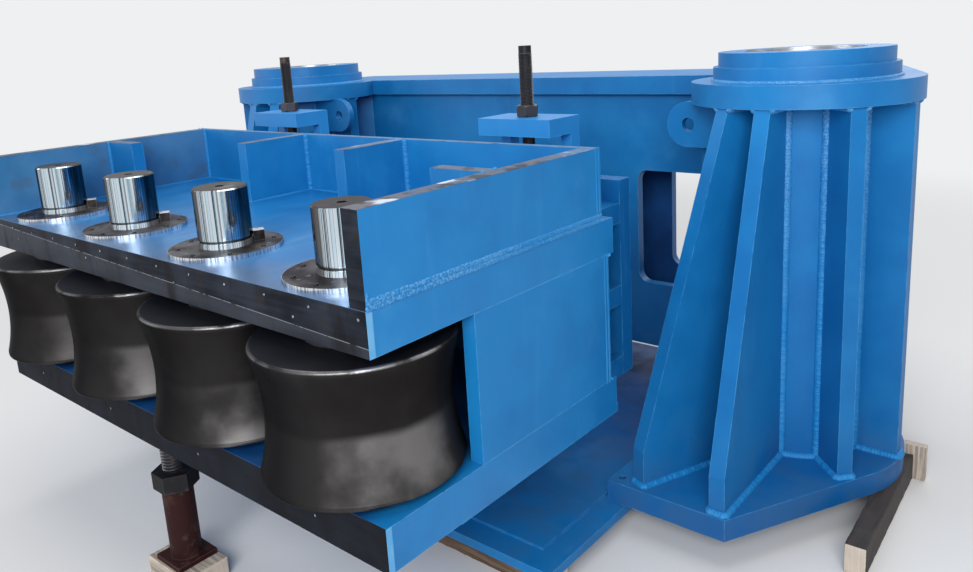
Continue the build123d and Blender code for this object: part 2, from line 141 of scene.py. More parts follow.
# A face's own finish is full down to the first depth behind it, and gone from the second on
FULL = 0.0005
FADE = 0.0015

# The camera that took the photograph, fitted to its straight edges
CAMERA_PLACE = Vector((2.235, -2.1371, 1.608))
CAMERA_RIGHT = Vector((0.7665, 0.6398, -0.0564))
CAMERA_UP = Vector((-0.0936, 0.1982, 0.9758))
CAMERA_BACK = Vector((0.6354, -0.7426, 0.2118))
CAMERA_LENS = 29.853
CAMERA_SHIFT_Y = -0.0744


def length_property(name, description, default):
    """A length that a user can change."""
    return FloatProperty(name=name, description=description, default=default, unit="LENGTH")


def colour_property(name, description, red, green, blue):
    """A linear colour that a user can change."""
    return FloatVectorProperty(
        name=name, description=description, default=(red, green, blue, 1),
        subtype="COLOR", size=4, min=0, max=1,
    )


class MachineSizes(bpy.types.PropertyGroup):
    """Sizes of the fine pieces."""

    weld_leg: length_property("Weld leg", "Leg of the welds on the columns and the beam", 0.012)
    weld_ripple: length_property("Weld ripple", "From one ripple of a weld to the next", 0.009)
    stud_pitch: length_property("Stud thread pitch", "Pitch of the hanger studs' thread", 0.0045)
    jack_pitch: length_property("Jack thread pitch", "Pitch of the jack screw's thread", 0.010)
    screw_head: length_property("Collar screw head", "Radius of the shaft collars' screws", 0.006)
    plug_radius: length_property("Slab plug", "Radius of the plugs in the slabs' fronts", 0.0035)
    wear_width: length_property("Edge wear", "Width of the worn strip on painted edges", 0.004)


class MachineColours(bpy.types.PropertyGroup):
    """Colours of the finishes."""

    enamel: colour_property("Enamel", "Blue machine enamel", 0.008, 0.175, 0.450)
    enamel_deep: colour_property("Deep enamel", "Enamel where it lies on well", 0.005, 0.135, 0.380)
    # Painted shade: darker enamel mixed in where shade falls.
    enamel_shade: colour_property("Thick enamel", "Enamel in its thickest places",
                                  0.002, 0.045, 0.190)
    # Painted light: paler enamel mixed over lit pieces.
    enamel_light: colour_property("Fresh enamel", "Newly painted enamel", 0.050, 0.330, 0.800)
    enamel_worn: colour_property("Worn enamel", "Enamel rubbed thin at edges", 0.090, 0.340, 0.640)
    weld_white: colour_property("Weld dust", "Pale dust on the end welds", 0.230, 0.430, 0.640)
    front_steel: colour_property("Front steel", "Oiled steel of the slabs' fronts",
                                 0.042, 0.052, 0.074)
    cut_edge: colour_property("Cut edge", "Bare top edges of the plates", 0.120, 0.125, 0.155)
    rust: colour_property("Rust", "Thin rust", 0.190, 0.115, 0.095)
    bright_steel: colour_property("Bright steel", "Ground and polished steel",
                                  0.860, 0.870, 0.890)
    collar_steel: colour_property("Collar steel", "Oily machined steel", 0.160, 0.158, 0.168)
    roller_steel: colour_property("Roller steel", "Dark oiled roller steel", 0.024, 0.023, 0.024)
    black_steel: colour_property("Black steel", "Black nuts and studs", 0.020, 0.020, 0.023)
    jack_red: colour_property("Jack paint", "Red-brown primer of the jack", 0.022, 0.005, 0.005)
    timber_pale: colour_property("Pale timber", "Clean sawn timber", 0.560, 0.480, 0.400)
    timber_brown: colour_property("Brown timber", "Old packing timber", 0.160, 0.100, 0.062)
    timber_stain: colour_property("Stained timber", "Oil-stained timber", 0.032, 0.025, 0.022)
    grime: colour_property("Grime", "Oil and dust", 0.060, 0.055, 0.050)
    floor: colour_property("Floor", "Pale studio floor", 0.700, 0.700, 0.700)
    backdrop: colour_property("Backdrop", "Pale studio background", 0.860, 0.870, 0.880)


def palette():
    return bpy.context.scene.machine_colours


def sizes():
    return bpy.context.scene.machine_sizes


def arithmetic(operation, reflected=False):
    """An operator between two values, as one Math node."""

    def operator(value, other):
        pair = (other, value) if reflected else (value, other)
        return value.shader.math(operation, *pair)

    return operator


class Value:
    """A number on a socket; its operators add Math nodes."""

    def __init__(self, shader, socket):
        self.shader = shader
        self.socket = socket

    def math(self, operation, *others):
        return self.shader.math(operation, self, *others)

    def __abs__(self):
        return self.math("ABSOLUTE")

    __add__ = arithmetic("ADD")
    __radd__ = arithmetic("ADD", reflected=True)
    __sub__ = arithmetic("SUBTRACT")
    __rsub__ = arithmetic("SUBTRACT", reflected=True)
    __mul__ = arithmetic("MULTIPLY")
    __rmul__ = arithmetic("MULTIPLY", reflected=True)


class Shader:
    """A node tree that is filled from nothing."""

    def __init__(self, tree):
        self.tree = tree
        self.colours = palette()
        self.place = None
        tree.nodes.clear()

    def node(self, kind, inputs=None, **settings):
        """Add a node of any type, with its settings first and then its sockets."""
        made = self.tree.nodes.new(kind)
        for key, value in settings.items():
            setattr(made, key, value)
        for key, value in (inputs or {}).items():
            slot = made.inputs[key]
            if isinstance(value, Value):
                self.tree.links.new(value.socket, slot)
            elif isinstance(value, bpy.types.NodeSocket):
                self.tree.links.new(value, slot)
            elif slot.type == "RGBA":
                slot.default_value = tuple(value)[:3] + (1,)
            else:
                slot.default_value = value
        return made

    def math(self, operation, *values):
        made = self.node("ShaderNodeMath", dict(enumerate(values)), operation=operation)
        return Value(self, made.outputs[0])

    def coordinates(self):
        if self.place is None:
            self.place = self.node("ShaderNodeTexCoord").outputs["Object"]
        return self.place

    def split(self, vector):
        parts = self.node("ShaderNodeSeparateXYZ", {0: vector})
        return [Value(self, socket) for socket in parts.outputs]

    def xyz(self):
        return self.split(self.coordinates())

    def normal(self):
        return self.node("ShaderNodeNewGeometry").outputs["Normal"]

    def vector(self, x, y, z):
        return self.node("ShaderNodeCombineXYZ", {0: x, 1: y, 2: z}).outputs[0]

    def noise(self, scale, detail, stretch=None, roughness=0.5, at=None):
        """Noise from 0 to 1 over the object's own coordinates."""
        where = self.coordinates() if at is None else at
        if stretch:
            inputs = {0: where, 1: stretch}
            where = self.node("ShaderNodeVectorMath", inputs, operation="MULTIPLY").outputs[0]
        inputs = {"Vector": where, "Scale": scale, "Detail": detail, "Roughness": roughness}
        return Value(self, self.node("ShaderNodeTexNoise", inputs).outputs["Fac"])

    def specks(self, scale):
        """Distance to the nearest of many scattered points."""
        inputs = {"Vector": self.coordinates(), "Scale": scale}
        return Value(self, self.node("ShaderNodeTexVoronoi", inputs).outputs["Distance"])

    def rise(self, value, low, high):
        """0 up to low and 1 from high on, with a smooth slope; it falls where low is larger."""
        inputs = {"Value": value, "From Min": low, "From Max": high}
        made = self.node("ShaderNodeMapRange", inputs, interpolation_type="SMOOTHSTEP")
        return Value(self, made.outputs["Result"])

    def blots(self, scale, detail, low, high, **more):
        """Scattered blots: 1 where a noise is over high, 0 where it is under low."""
        return self.rise(self.noise(scale, detail, **more), low, high)

    def at_or_over(self, value, level):
        return self.rise(value, level - FADE, level - FULL)

    def at_or_under(self, value, level):
        return self.rise(value, level + FADE, level + FULL)

    def mix(self, share, first, second):
        """The first colour, turned into the second by a share from 0 to 1."""
        made = self.node("ShaderNodeMix", {0: share, 6: first, 7: second}, data_type="RGBA")
        return made.outputs[2]

    def layers(self, colour, *coats):
        """Coats laid one by one on a colour, each with its share and its own colour."""
        for share, coat in coats:
            colour = self.mix(share, colour, coat)
        return colour

    def edges(self, width):
        """1 along the edges of the piece and 0 on its flat faces."""
        rounded = self.node("ShaderNodeBevel", {"Radius": width}, samples=4).outputs[0]
        inputs = {0: rounded, 1: self.normal()}
        made = self.node("ShaderNodeVectorMath", inputs, operation="DOT_PRODUCT")
        return self.rise(Value(self, made.outputs["Value"]), 0.995, 0.90)

    def surface(self, colour, roughness, metallic, relief, level=0.5, edge=1.0):
        """The finished surface. Relief is the bump's height, depth and strength; level and
        edge are the strength and the tint of the gloss."""
        inputs = dict(zip(("Height", "Distance", "Strength"), relief))
        made = self.node("ShaderNodeBsdfPrincipled", {
            "Base Color": colour,
            "Roughness": roughness,
            "Metallic": metallic,
            "Normal": self.node("ShaderNodeBump", inputs).outputs[0],
            "Specular IOR Level": level,
            "Specular Tint": (edge, edge, edge),
        })
        self.node("ShaderNodeOutputMaterial", {"Surface": made.outputs[0]})


def across_axis(x, y):
    """Distance from an axis, from the two distances across it."""
    return (x * x + y * y).math("SQRT")


def new_material(name):
    material = bpy.data.materials.new(name)
    material.use_nodes = True
    return material, Shader(material.node_tree)


# Finishes for patches of painted pieces: each gives colour, roughness, metallic and height


def front_steel(s):
    """Oiled, drawn steel of the slabs' front faces, paler below a long scribed line."""
    x, y, z = s.xyz()
    drawn = s.noise(5, 3, stretch=(1, 1, 18))
    cloud = s.noise(7, 5)
    stain = s.blots(16, 4, 0.52, 0.72)
    low = s.rise(z, 0.80, 0.60)
    drop, slope = 0.082, 0.032
    line = z - (DECK - drop + (TOP_SLAB_HIGH.x - x) * slope)
    scribed = s.rise(abs(line), 0.0014, 0.0004) * s.blots(60, 2, 0.35, 0.5)
    below = s.rise(line, 0.002, -0.002) * s.rise(z, DECK - 0.11, DECK - 0.10)
    smear = s.blots(9, 4, 0.50, 0.66, stretch=(1, 1, 0.22))
    colour = s.layers(
        (0.014, 0.017, 0.025),
        (s.rise(drawn * 0.3 + cloud * 0.7, 0.35, 0.7), s.colours.front_steel),
        (below * 0.5, (0.085, 0.095, 0.120)),
        (smear * 0.65, (0.014, 0.012, 0.012)),
        (stain * 0.35, (0.060, 0.045, 0.038)),
        (low * 0.70, (0.016, 0.018, 0.024)),
        (scribed * 0.8, (0.36, 0.37, 0.40)),
    )
    return colour, 0.36 + cloud * 0.2 + stain * 0.15 + low * 0.12, 0.92, drawn


def deck_gloss(s):
    """Oily enamel of the deck's front, worn thin to grey, which mirrors the shafts, with paler
    streaks from front to back painted as their reflections.
    """
    x, y, z = s.xyz()
    cloud = s.noise(5, 4)
    thin = s.rise(y + cloud * 0.16, FRONT + 0.27, FRONT + 0.06)
    colour = s.layers(
        s.colours.enamel_deep,
        (s.rise(cloud, 0.3, 0.7), s.colours.enamel),
        (thin * 0.75, (0.13, 0.20, 0.32)),
        # Paler streaks running front to back: painted reflections of the shafts.
        (s.blots(26, 3, 0.5, 0.75, stretch=(1, 0.12, 1)) * 0.35, (0.16, 0.24, 0.34)),
    )
    return colour, 0.27 + cloud * 0.14, 0.08 + thin * 0.42, cloud * 0.3


def cut_edge(s):
    """Flame-cut edge: bluish grey with thin rust, dark smudges and pale rubs."""
    x, y, z = s.xyz()
    cloud = s.noise(26, 5)
    far = s.rise(y, WALL_LOW.y - 0.30, WALL_LOW.y) * s.rise(cloud, 0.34, 0.56)
    colour = s.layers(
        (0.075, 0.115, 0.190),
        (s.blots(3.2, 4, 0.50, 0.64), s.colours.cut_edge),
        (s.rise(cloud, 0.52, 0.74) * 0.4, s.colours.rust),
        (s.blots(7, 3, 0.60, 0.66), (0.55, 0.60, 0.68)),
        (s.blots(17, 4, 0.54, 0.62) * 0.85, (0.022, 0.028, 0.042)),
        (far * 0.6, (0.10, 0.26, 0.50)),
    )
    return colour, 0.40 + cloud * 0.25, 0.45, cloud


def dull_coat(scale, dark, light, roughness, dirt=0.0):
    """A dull coat of paint that drifts between two colours."""

    def finish(s):
        cloud = s.noise(scale, 4)
        colour = s.mix(s.rise(cloud, 0.3, 0.7), dark, light)
        if dirt:
            colour = s.mix(s.blots(13, 4, 0.54, 0.74) * dirt, colour, s.colours.grime)
        return colour, roughness + cloud * 0.2, 0.0, cloud * 0.3

    return finish


# Painted shade: dark blue on the bottom slab's top between the end plates, under the top slab.
roller_bed_shade = dull_coat(7, (0.003, 0.040, 0.150), (0.006, 0.075, 0.240), 0.38)
dusty_enamel = dull_coat(5, (0.022, 0.130, 0.300), (0.050, 0.175, 0.360), 0.48, dirt=0.3)
# Painted shade: dark blue for the beam's inside, between its webs.
inside_shade = dull_coat(6, (0.005, 0.048, 0.185), (0.010, 0.090, 0.320), 0.60)


def bare_strip(s):
    """Ground corner with a thin coat."""
    cloud = s.noise(22, 4)
    colour = s.mix(s.rise(cloud, 0.40, 0.65), s.colours.enamel_worn, (0.14, 0.38, 0.64))
    return colour, 0.36 + cloud * 0.2, 0.1, cloud


def bore_steel(s):
    """Bright machined bore with fine turned lines."""
    turned = s.noise(4, 2, stretch=(1, 1, 160))
    colour = s.mix(turned, (0.34, 0.35, 0.37), s.colours.bright_steel)
    return colour, 0.2 + turned * 0.14, 1.0, turned


def enamel(name, patches=(), gloss=0.36, painted_shade=None, painted_light=0.0, worn=1.0, shine=(0.3, 1.0)):
    """Blue machine enamel, grimy near the floor, with bare patches; its edges are paler, partly
    rubbed thin and partly a painted highlight, and it can take darker painted shade and paler
    painted light.
    """
    material, s = new_material(name)
    colours = s.colours
    x, y, z = s.xyz()
    cloud = s.noise(8, 5)
    # Edges paler: enamel rubbed thin, and a painted highlight along them.
    wear_and_highlight = s.edges(sizes().wear_width) * s.blots(30, 4, 0.30, 0.62)
    streak = s.blots(20, 3, 0.60, 0.75, stretch=(1, 1, 0.09))
    smudge = s.blots(4.5, 5, 0.52, 0.74, roughness=0.62)
    chip = s.rise(s.specks(9) + s.noise(90, 3) * 0.14, 0.095, 0.085)
    dust = s.rise(z, 0.42, 0.06) * s.rise(cloud, 0.35, 0.7)
    coats = [(s.rise(s.noise(1.7, 3) * 0.65 + cloud * 0.35, 0.38, 0.62), colours.enamel)]
    # Painted shade: darker enamel where the given mask says.
    if painted_shade:
        coats.append((painted_shade(s, x, y, z), colours.enamel_shade))
    # Painted light: a share of paler enamel.
    if painted_light:
        coats.append((painted_light, colours.enamel_light))
    coats += [
        (streak * 0.07 * worn, colours.enamel_worn),
        (smudge * 0.16 * worn, colours.enamel_worn),
        (wear_and_highlight * 0.75, colours.enamel_worn),
        (chip * 0.6, (0.02, 0.05, 0.11)),
        (dust * 0.25, colours.grime),
    ]
    colour = s.layers(colours.enamel_deep, *coats)
    paint = (
        gloss + cloud * 0.14 + dust * 0.25 + chip * 0.2 + smudge * 0.06,
        0.0,
        s.noise(170, 2) * 0.25 + cloud * 0.4 - chip * 0.5,
    )
    for where, finish in patches:
        mask = where(s, x, y, z)
        bare_colour, roughness, metallic, height = finish(s)
        colour = s.mix(mask, colour, bare_colour)
        bare = (roughness, metallic, height * 0.3)
        paint = [old + (new - old) * mask for old, new in zip(paint, bare)]
    roughness, metallic, height = paint
    s.surface(colour, roughness, metallic, (height, 0.0006, 0.6), *shine)
    return material


def dress(material, *names):
    """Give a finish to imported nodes."""
    for name in names:
        mesh = frame["nodes"][name].data
        mesh.materials.clear()
        mesh.materials.append(material)


def pick(*pieces):
    """Select these pieces alone, in object mode; the first one is active."""
    if bpy.context.mode != "OBJECT":
        bpy.ops.object.mode_set(mode="OBJECT")
    bpy.ops.object.select_all(action="DESELECT")
    for piece in pieces:
        piece.select_set(True)
    if pieces:
        bpy.context.view_layer.objects.active = pieces[0]


@contextmanager
def edit_mode(keep=False):
    """Edit the active piece, with all of it selected unless what is selected is kept."""
    bpy.ops.object.mode_set(mode="EDIT")
    if not keep:
        bpy.ops.mesh.select_all(action="SELECT")
    yield
    bpy.ops.object.mode_set(mode="OBJECT")


def select_only(piece, kind, wanted):
    """Select only the wanted faces or edges of the active piece, and count them."""
    bpy.ops.object.mode_set(mode="EDIT")
    bpy.ops.mesh.select_all(action="DESELECT")
    bpy.ops.object.mode_set(mode="OBJECT")
    chosen = [part for part in getattr(piece.data, kind) if wanted(part)]
    for part in chosen:
        part.select = True
    return len(chosen)


def settle(piece):
    """Put the piece's place into its mesh, so that its object lies at the origin."""
    pick(piece)
    bpy.ops.object.transform_apply(location=True, rotation=True, scale=True)
    return piece


def modify(piece, kind, **settings):
    """Add a modifier with its settings, and apply it."""
    modifier = piece.modifiers.new(kind.lower(), kind)
    for key, value in settings.items():
        setattr(modifier, key, value)
    pick(piece)
    bpy.ops.object.modifier_apply(modifier=modifier.name)


def join(pieces, name):
    """Join pieces into one, named for what it is."""
    pick(*pieces)
    if len(pieces) > 1:
        bpy.ops.object.join()
    whole = bpy.context.view_layer.objects.active
    whole.name = name
    whole.data.name = name
    return whole


def copy_of(piece):
    """A copy with a mesh of its own."""
    made = piece.copy()
    made.data = piece.data.copy()
    bpy.context.scene.collection.objects.link(made)
    return made


def copies(piece, places):
    """Settled copies of a piece, one at each place; the piece itself goes."""
    made = []
    for place in places:
        twin = copy_of(piece)
        twin.location = place
        made.append(settle(twin))
    remove(piece)
    return made


def remove(piece):
    mesh = piece.data
    bpy.data.objects.remove(piece)
    bpy.data.meshes.remove(mesh)


def cylinder(vertices, radius, depth, place, turn=(0, 0, 0)):
    pick()
    bpy.ops.mesh.primitive_cylinder_add(
        vertices=vertices, radius=radius, depth=depth, location=place, rotation=turn
    )
    return settle(bpy.context.object)


def finish_piece(piece, body, material, smooth=40.0):
    """Give the piece its finish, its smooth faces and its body."""
    piece.data.materials.clear()
    piece.data.materials.append(material)
    pick(piece)
    bpy.ops.object.shade_smooth_by_angle(angle=math.radians(smooth))
    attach(piece, body)


def columns_matrix(*columns):
    """A turn and scale, given by where it takes the three axes."""
    return Matrix(columns).transposed().to_4x4()


class WeldBench:
    """Lays rows of weld ripples, and joins them into one piece."""

    # Shape of a fillet, in shares of its leg
    LIFT = 0.2
    WIDTH = 1.35
    HEIGHT = 0.5

    def __init__(self, leg, pitch, seed, lap=1.4):
        self.leg = leg
        self.pitch = pitch
        self.lap = lap
        self.random = np.random.RandomState(seed)
        self.rows = []
        pick()
        bpy.ops.mesh.primitive_uv_sphere_add(segments=8, ring_count=6, radius=1)
        self.ripple = bpy.context.object
        with edit_mode():
            bpy.ops.mesh.bisect(
                plane_co=(0, 0, -0.4), plane_no=(0, 0, 1), clear_inner=True, use_fill=True
            )

    def run(self, start, end, out, width, height):
        """A straight row from start to end, standing out from the work by its height."""
        start = Vector(start)
        path = Vector(end) - start
        if path.length < self.pitch:
            return
        count = max(2, round(path.length / self.pitch))
        step = path.length / count
        row = copy_of(self.ripple)
        modify(row, "ARRAY", count=count, use_relative_offset=False, use_constant_offset=True,
               constant_offset_displace=(1 / self.lap, 0, 0))
        self.wobble(row, count)
        along = path.normalized()
        across = out.cross(along)
        turn = columns_matrix(along * step * self.lap, across * width / 2, out * height)
        row.matrix_world = Matrix.Translation(start + along * step / 2) @ turn
        self.rows.append(row)

    def wobble(self, row, count):
        """Let the ripples differ a little, as a hand-made weld's do."""
        mesh = row.data
        places = np.empty(len(mesh.vertices) * 3, np.float32)
        mesh.vertices.foreach_get("co", places)
        places = places.reshape(count, -1, 3)
        places[:, :, 1] *= 1 + self.random.uniform(-0.06, 0.06, (count, 1))
        places[:, :, 1] += self.random.uniform(-0.05, 0.05, (count, 1))
        places[:, :, 2] *= 1 + self.random.uniform(-0.10, 0.10, (count, 1))
        mesh.vertices.foreach_set("co", places.ravel())

    def fillet(self, start, end, face_a, face_b, leg=None):
        """A row in the corner between two faces, given by their outward directions."""
        leg = leg or self.leg
        out = (face_a + face_b).normalized()
        lift = out * leg * self.LIFT
        self.run(Vector(start) + lift, Vector(end) + lift, out, leg * self.WIDTH,
                 leg * self.HEIGHT)

    def ring(self, centre, radius, face, leg=None):
        """A fillet round a barrel that stands on, or hangs from, a flat face."""
        leg = leg or self.leg
        count = round(2 * math.pi * radius / self.pitch)
        step = 2 * math.pi * radius / count
        out = (X + face).normalized()
        turn = columns_matrix(Y * step * self.lap, out.cross(Y) * leg * self.WIDTH / 2,
                              out * leg * self.HEIGHT)
        row = copy_of(self.ripple)
        row.matrix_world = (
            Matrix.Translation(centre + X * radius + out * leg * self.LIFT) @ turn
        )
        settle(row)
        with edit_mode():
            bpy.ops.mesh.spin(
                steps=count - 1, dupli=True, angle=2 * math.pi * (count - 1) / count,
                center=centre, axis=Z,
            )
        self.rows.append(row)

    def finish(self, name, material):
        remove(self.ripple)
        for row in self.rows:
            settle(row)
        piece = join(self.rows, name)
        with edit_mode():
            bpy.ops.mesh.normals_make_consistent(inside=False)
        finish_piece(piece, "frame", material, smooth=75.0)


def weld_paint(name, dust_and_reflection=None):
    """Enamel over a weld, with pale dots of dust where it lies."""
    material, s = new_material(name)
    cloud = s.noise(5, 4)
    colour = s.mix(s.rise(cloud, 0.42, 0.72) * 0.22, s.colours.enamel, s.colours.enamel_worn)
    if dust_and_reflection:
        dots = s.rise(s.noise(170, 2) * 0.8 + cloud * 0.2, 0.38, 0.66)
        colour = s.mix(dots * dust_and_reflection(s, *s.xyz()), colour, s.colours.weld_white)
    s.surface(colour, 0.40 + cloud * 0.2, 0.0, (s.noise(380, 2), 0.0004, 0.5), level=0.25)
    return material


class MACHINE_OT_stage(bpy.types.Operator):
    """Set up the pale floor, the soft light and the camera"""

    bl_idname = "machine.stage"
    bl_label = "Stage, light and camera"

    # Name, place, aim, width, height and power of each lamp
    LAMPS = (
        ("key", (3.6, -5.0, 3.4), (0.2, 0.4, 0.9), 4.0, 3.0, 370),
        ("fill", (-5.0, -3.5, 3.0), (-0.2, 0.2, 0.8), 4.0, 3.0, 100),
        ("top", (0.0, 0.3, 5.5), (0.0, 0.3, 0.0), 5.0, 4.0, 150),
        ("back", (1.5, 5.0, 4.2), (0.0, 0.5, 0.8), 4.0, 3.0, 100),
    )

    def execute(self, context):
        self.floor()
        self.world(context)
        for lamp in self.LAMPS:
            self.lamp(*lamp)
        self.camera(context)
        context.scene.view_settings.view_transform = "Standard"
        return {"FINISHED"}

    def background_rays(self, s):
        """1 for rays that see the background itself, directly or in metal or glass."""
        path = s.node("ShaderNodeLightPath").outputs
        rays = ("Is Camera Ray", "Is Glossy Ray", "Is Transmission Ray")
        camera, glossy, clear = (Value(s, path[ray]) for ray in rays)
        return (camera + glossy + clear).math("MINIMUM", 1.0)

    def floor(self):
        """A pale matt floor that runs into the backdrop."""
        pick()
        bpy.ops.mesh.primitive_circle_add(vertices=96, radius=60, fill_type="NGON")
        floor = bpy.context.object
        floor.name = "studio_floor"
        material, s = new_material("studio_floor")
        x, y, z = s.xyz()
        far = s.rise(across_axis(x, y), 2.6, 7.5) * self.background_rays(s)
        matt = s.node("ShaderNodeBsdfDiffuse", {"Color": s.colours.floor}).outputs[0]
        glow = s.node("ShaderNodeEmission", {"Color": s.colours.backdrop}).outputs[0]
        blend = s.node("ShaderNodeMixShader", {0: far, 1: matt, 2: glow}).outputs[0]
        s.node("ShaderNodeOutputMaterial", {"Surface": blend})
        floor.data.materials.append(material)

    def world(self, context):
        """Even pale light; the camera and shiny steel see the pale backdrop."""
        world = bpy.data.worlds.new("studio_world")
        context.scene.world = world
        world.use_nodes = True
        s = Shader(world.node_tree)
        ambient, pale = (
            s.node("ShaderNodeBackground", {"Color": colour, "Strength": strength}).outputs[0]
            for colour, strength in (((0.95, 0.97, 1), 0.36), (s.colours.backdrop, 1.0))
        )
        inputs = {0: self.background_rays(s), 1: ambient, 2: pale}
        shown = s.node("ShaderNodeMixShader", inputs).outputs[0]
        s.node("ShaderNodeOutputWorld", {"Surface": shown})

    def lamp(self, name, place, aim, width, height, power):
        bpy.ops.object.light_add(type="AREA", location=place)
        lamp = bpy.context.object
        lamp.name = f"{name}_light"
        lamp.data.shape = "RECTANGLE"
        lamp.data.size = width
        lamp.data.size_y = height
        lamp.data.energy = power
        toward = Vector(aim) - Vector(place)
        lamp.rotation_euler = toward.to_track_quat("-Z", "Y").to_euler()

    def camera(self, context):
        bpy.ops.object.camera_add()
        camera = bpy.context.object
        turn = columns_matrix(CAMERA_RIGHT, CAMERA_UP, CAMERA_BACK)
        camera.matrix_world = Matrix.Translation(CAMERA_PLACE) @ turn
        camera.data.sensor_width = 36
        camera.data.lens = CAMERA_LENS
        camera.data.shift_y = CAMERA_SHIFT_Y
        camera.data.clip_end = 200
        context.scene.camera = camera


class MACHINE_OT_paint(bpy.types.Operator):
    """Paint the welded frame and the roll box"""

    bl_idname = "machine.paint"
    bl_label = "Enamel and bare steel"

    def execute(self, context):
        self.paint_frame()
        self.paint_roll_box()
        return {"FINISHED"}

    def paint_frame(self):
        soft = (0.22, 1.0)

        # Painted shade on the columns: darker enamel lower down and on the foot plates' sides.
        def lower_part(s, x, y, z):
            foot = s.rise(z, FOOT_TOP - FULL, FOOT_TOP - FADE)
            return s.rise(z, 1.35, 0.30) * 0.28 + foot * 0.28

        def shaded(s, x, y, z):
            return s.rise(y, FRONT + 0.7, COLUMN_Y) * 0.84

        # Painted shade: darker enamel low on the beam's webs.
        def low_web(s, x, y, z):
            return s.rise(z, 1.15, 0.55) * 0.40

        def inside(s, x, y, z):
            """Between the webs, but not on the beam's own ends or underside."""
            behind = s.rise(y, FRONT_WEB_HIGH.y - 0.001, FRONT_WEB_HIGH.y - 0.0002)
            between = behind * s.rise(y, REAR_WEB_LOW.y + 0.001, REAR_WEB_LOW.y + 0.0002)
            within = s.rise(abs(x), FRONT_WEB_HIGH.x - FULL, FRONT_WEB_HIGH.x - FADE)
            return between * within * s.rise(z, FRONT_WEB_LOW.z + FULL, FRONT_WEB_LOW.z + FADE)

        def ring_bore(s, x, y, z):
            radius = across_axis(abs(x) - COLUMN_X, y - COLUMN_Y)
            return s.rise(radius, RING_BORE_RADIUS + 0.002, RING_BORE_RADIUS + FULL)

        dress(enamel("blue_enamel"), "top_flange", "lifting_ears", "side_plate_right",
              "side_plate_left", "throat_wall")
        dress(enamel("column_enamel", painted_shade=lower_part, worn=0.25, shine=soft),
              *(f"{node}_{word}" for node in ("foot_plate", "column_barrel", "column_ribs")
                for word, side in SIDES))
        dress(enamel("shaded_enamel", painted_shade=shaded, shine=soft), "sole_plate", "slide_plate",
              "pedestals", "carriage_plate", "carriage_spacers")
        # The beam's inside gets painted shade, and its webs darker enamel low down as painted
        # shade.
        dress(enamel("beam_enamel", [(inside, inside_shade)], painted_shade=low_web),
              "beam_front_web", "beam_rear_web", "beam_floor", "beam_diaphragms")
        # Painted light: the hanger blocks' enamel is mixed 30 % paler.
        dress(enamel("hanger_enamel", painted_light=0.30), "hanger_block_right", "hanger_block_left")
        dress(enamel("ring_enamel", [(ring_bore, bore_steel)]), "column_ring_right",
              "column_ring_left")

    def paint_roll_box(self):
        # Gloss of oiled steel: level and tint.
        oil_and_painted_dark = (0.5, 0.6)

        # Painted shade on the slabs: darker enamel on the deck's top further back, and on faces
        # well below the deck further back.
        def deck_back(s, x, y, z):
            deck = s.at_or_over(z, DECK) * s.rise(y, FRONT + 0.2, FRONT + 0.6)
            low = s.rise(z, DECK - 0.3, DECK - 0.4) * s.rise(y, FRONT + 0.4, FRONT + 1.2)
            return deck * 0.20 + low * 0.24

        def slab_front(s, x, y, z):
            return s.at_or_under(y, FRONT)

        def deck_strip(s, x, y, z):
            border = s.noise(3.5, 4) * 0.5
            return s.at_or_over(z, DECK) * s.rise(y - border, FRONT + 0.40, FRONT + 0.10)

        def wall_top(s, x, y, z):
            return s.at_or_over(z, WALL_TOP)

        def corner_strip(s, x, y, z):
            end = s.at_or_over(abs(x - BOX_MIDDLE), BOX_HALF)
            return end * s.rise(y, FRONT + 0.018, FRONT + 0.014)

        # Where the bottom slab's top gets its painted shade, between the end plates.
        def slab_floor(s, x, y, z):
            top = s.at_or_under(abs(z - BOTTOM_SLAB_HIGH.z), 0.0)
            return top * s.rise(abs(x - BOX_MIDDLE), BOX_HALF - 0.04, BOX_HALF - 0.10)

        def inner_face(s, x, y, z):
            return s.at_or_under(abs(x - BOX_MIDDLE), BOX_HALF - END_PLATE)

        bare = [(slab_front, front_steel), (wall_top, cut_edge)]
        slab = [(slab_front, front_steel), (deck_strip, deck_gloss), (corner_strip, bare_strip),
                (slab_floor, roller_bed_shade)]
        dress(enamel("slab_enamel", slab, gloss=0.28, painted_shade=deck_back, shine=oil_and_painted_dark),
              "bottom_slab", "top_slab")
        dress(enamel("end_plate_enamel", [(inner_face, dusty_enamel)] + bare, shine=oil_and_painted_dark),
              "end_plate_right", "end_plate_left")
        dress(enamel("wall_enamel", bare), "back_wall", "deck_ribs", "corner_ribs")


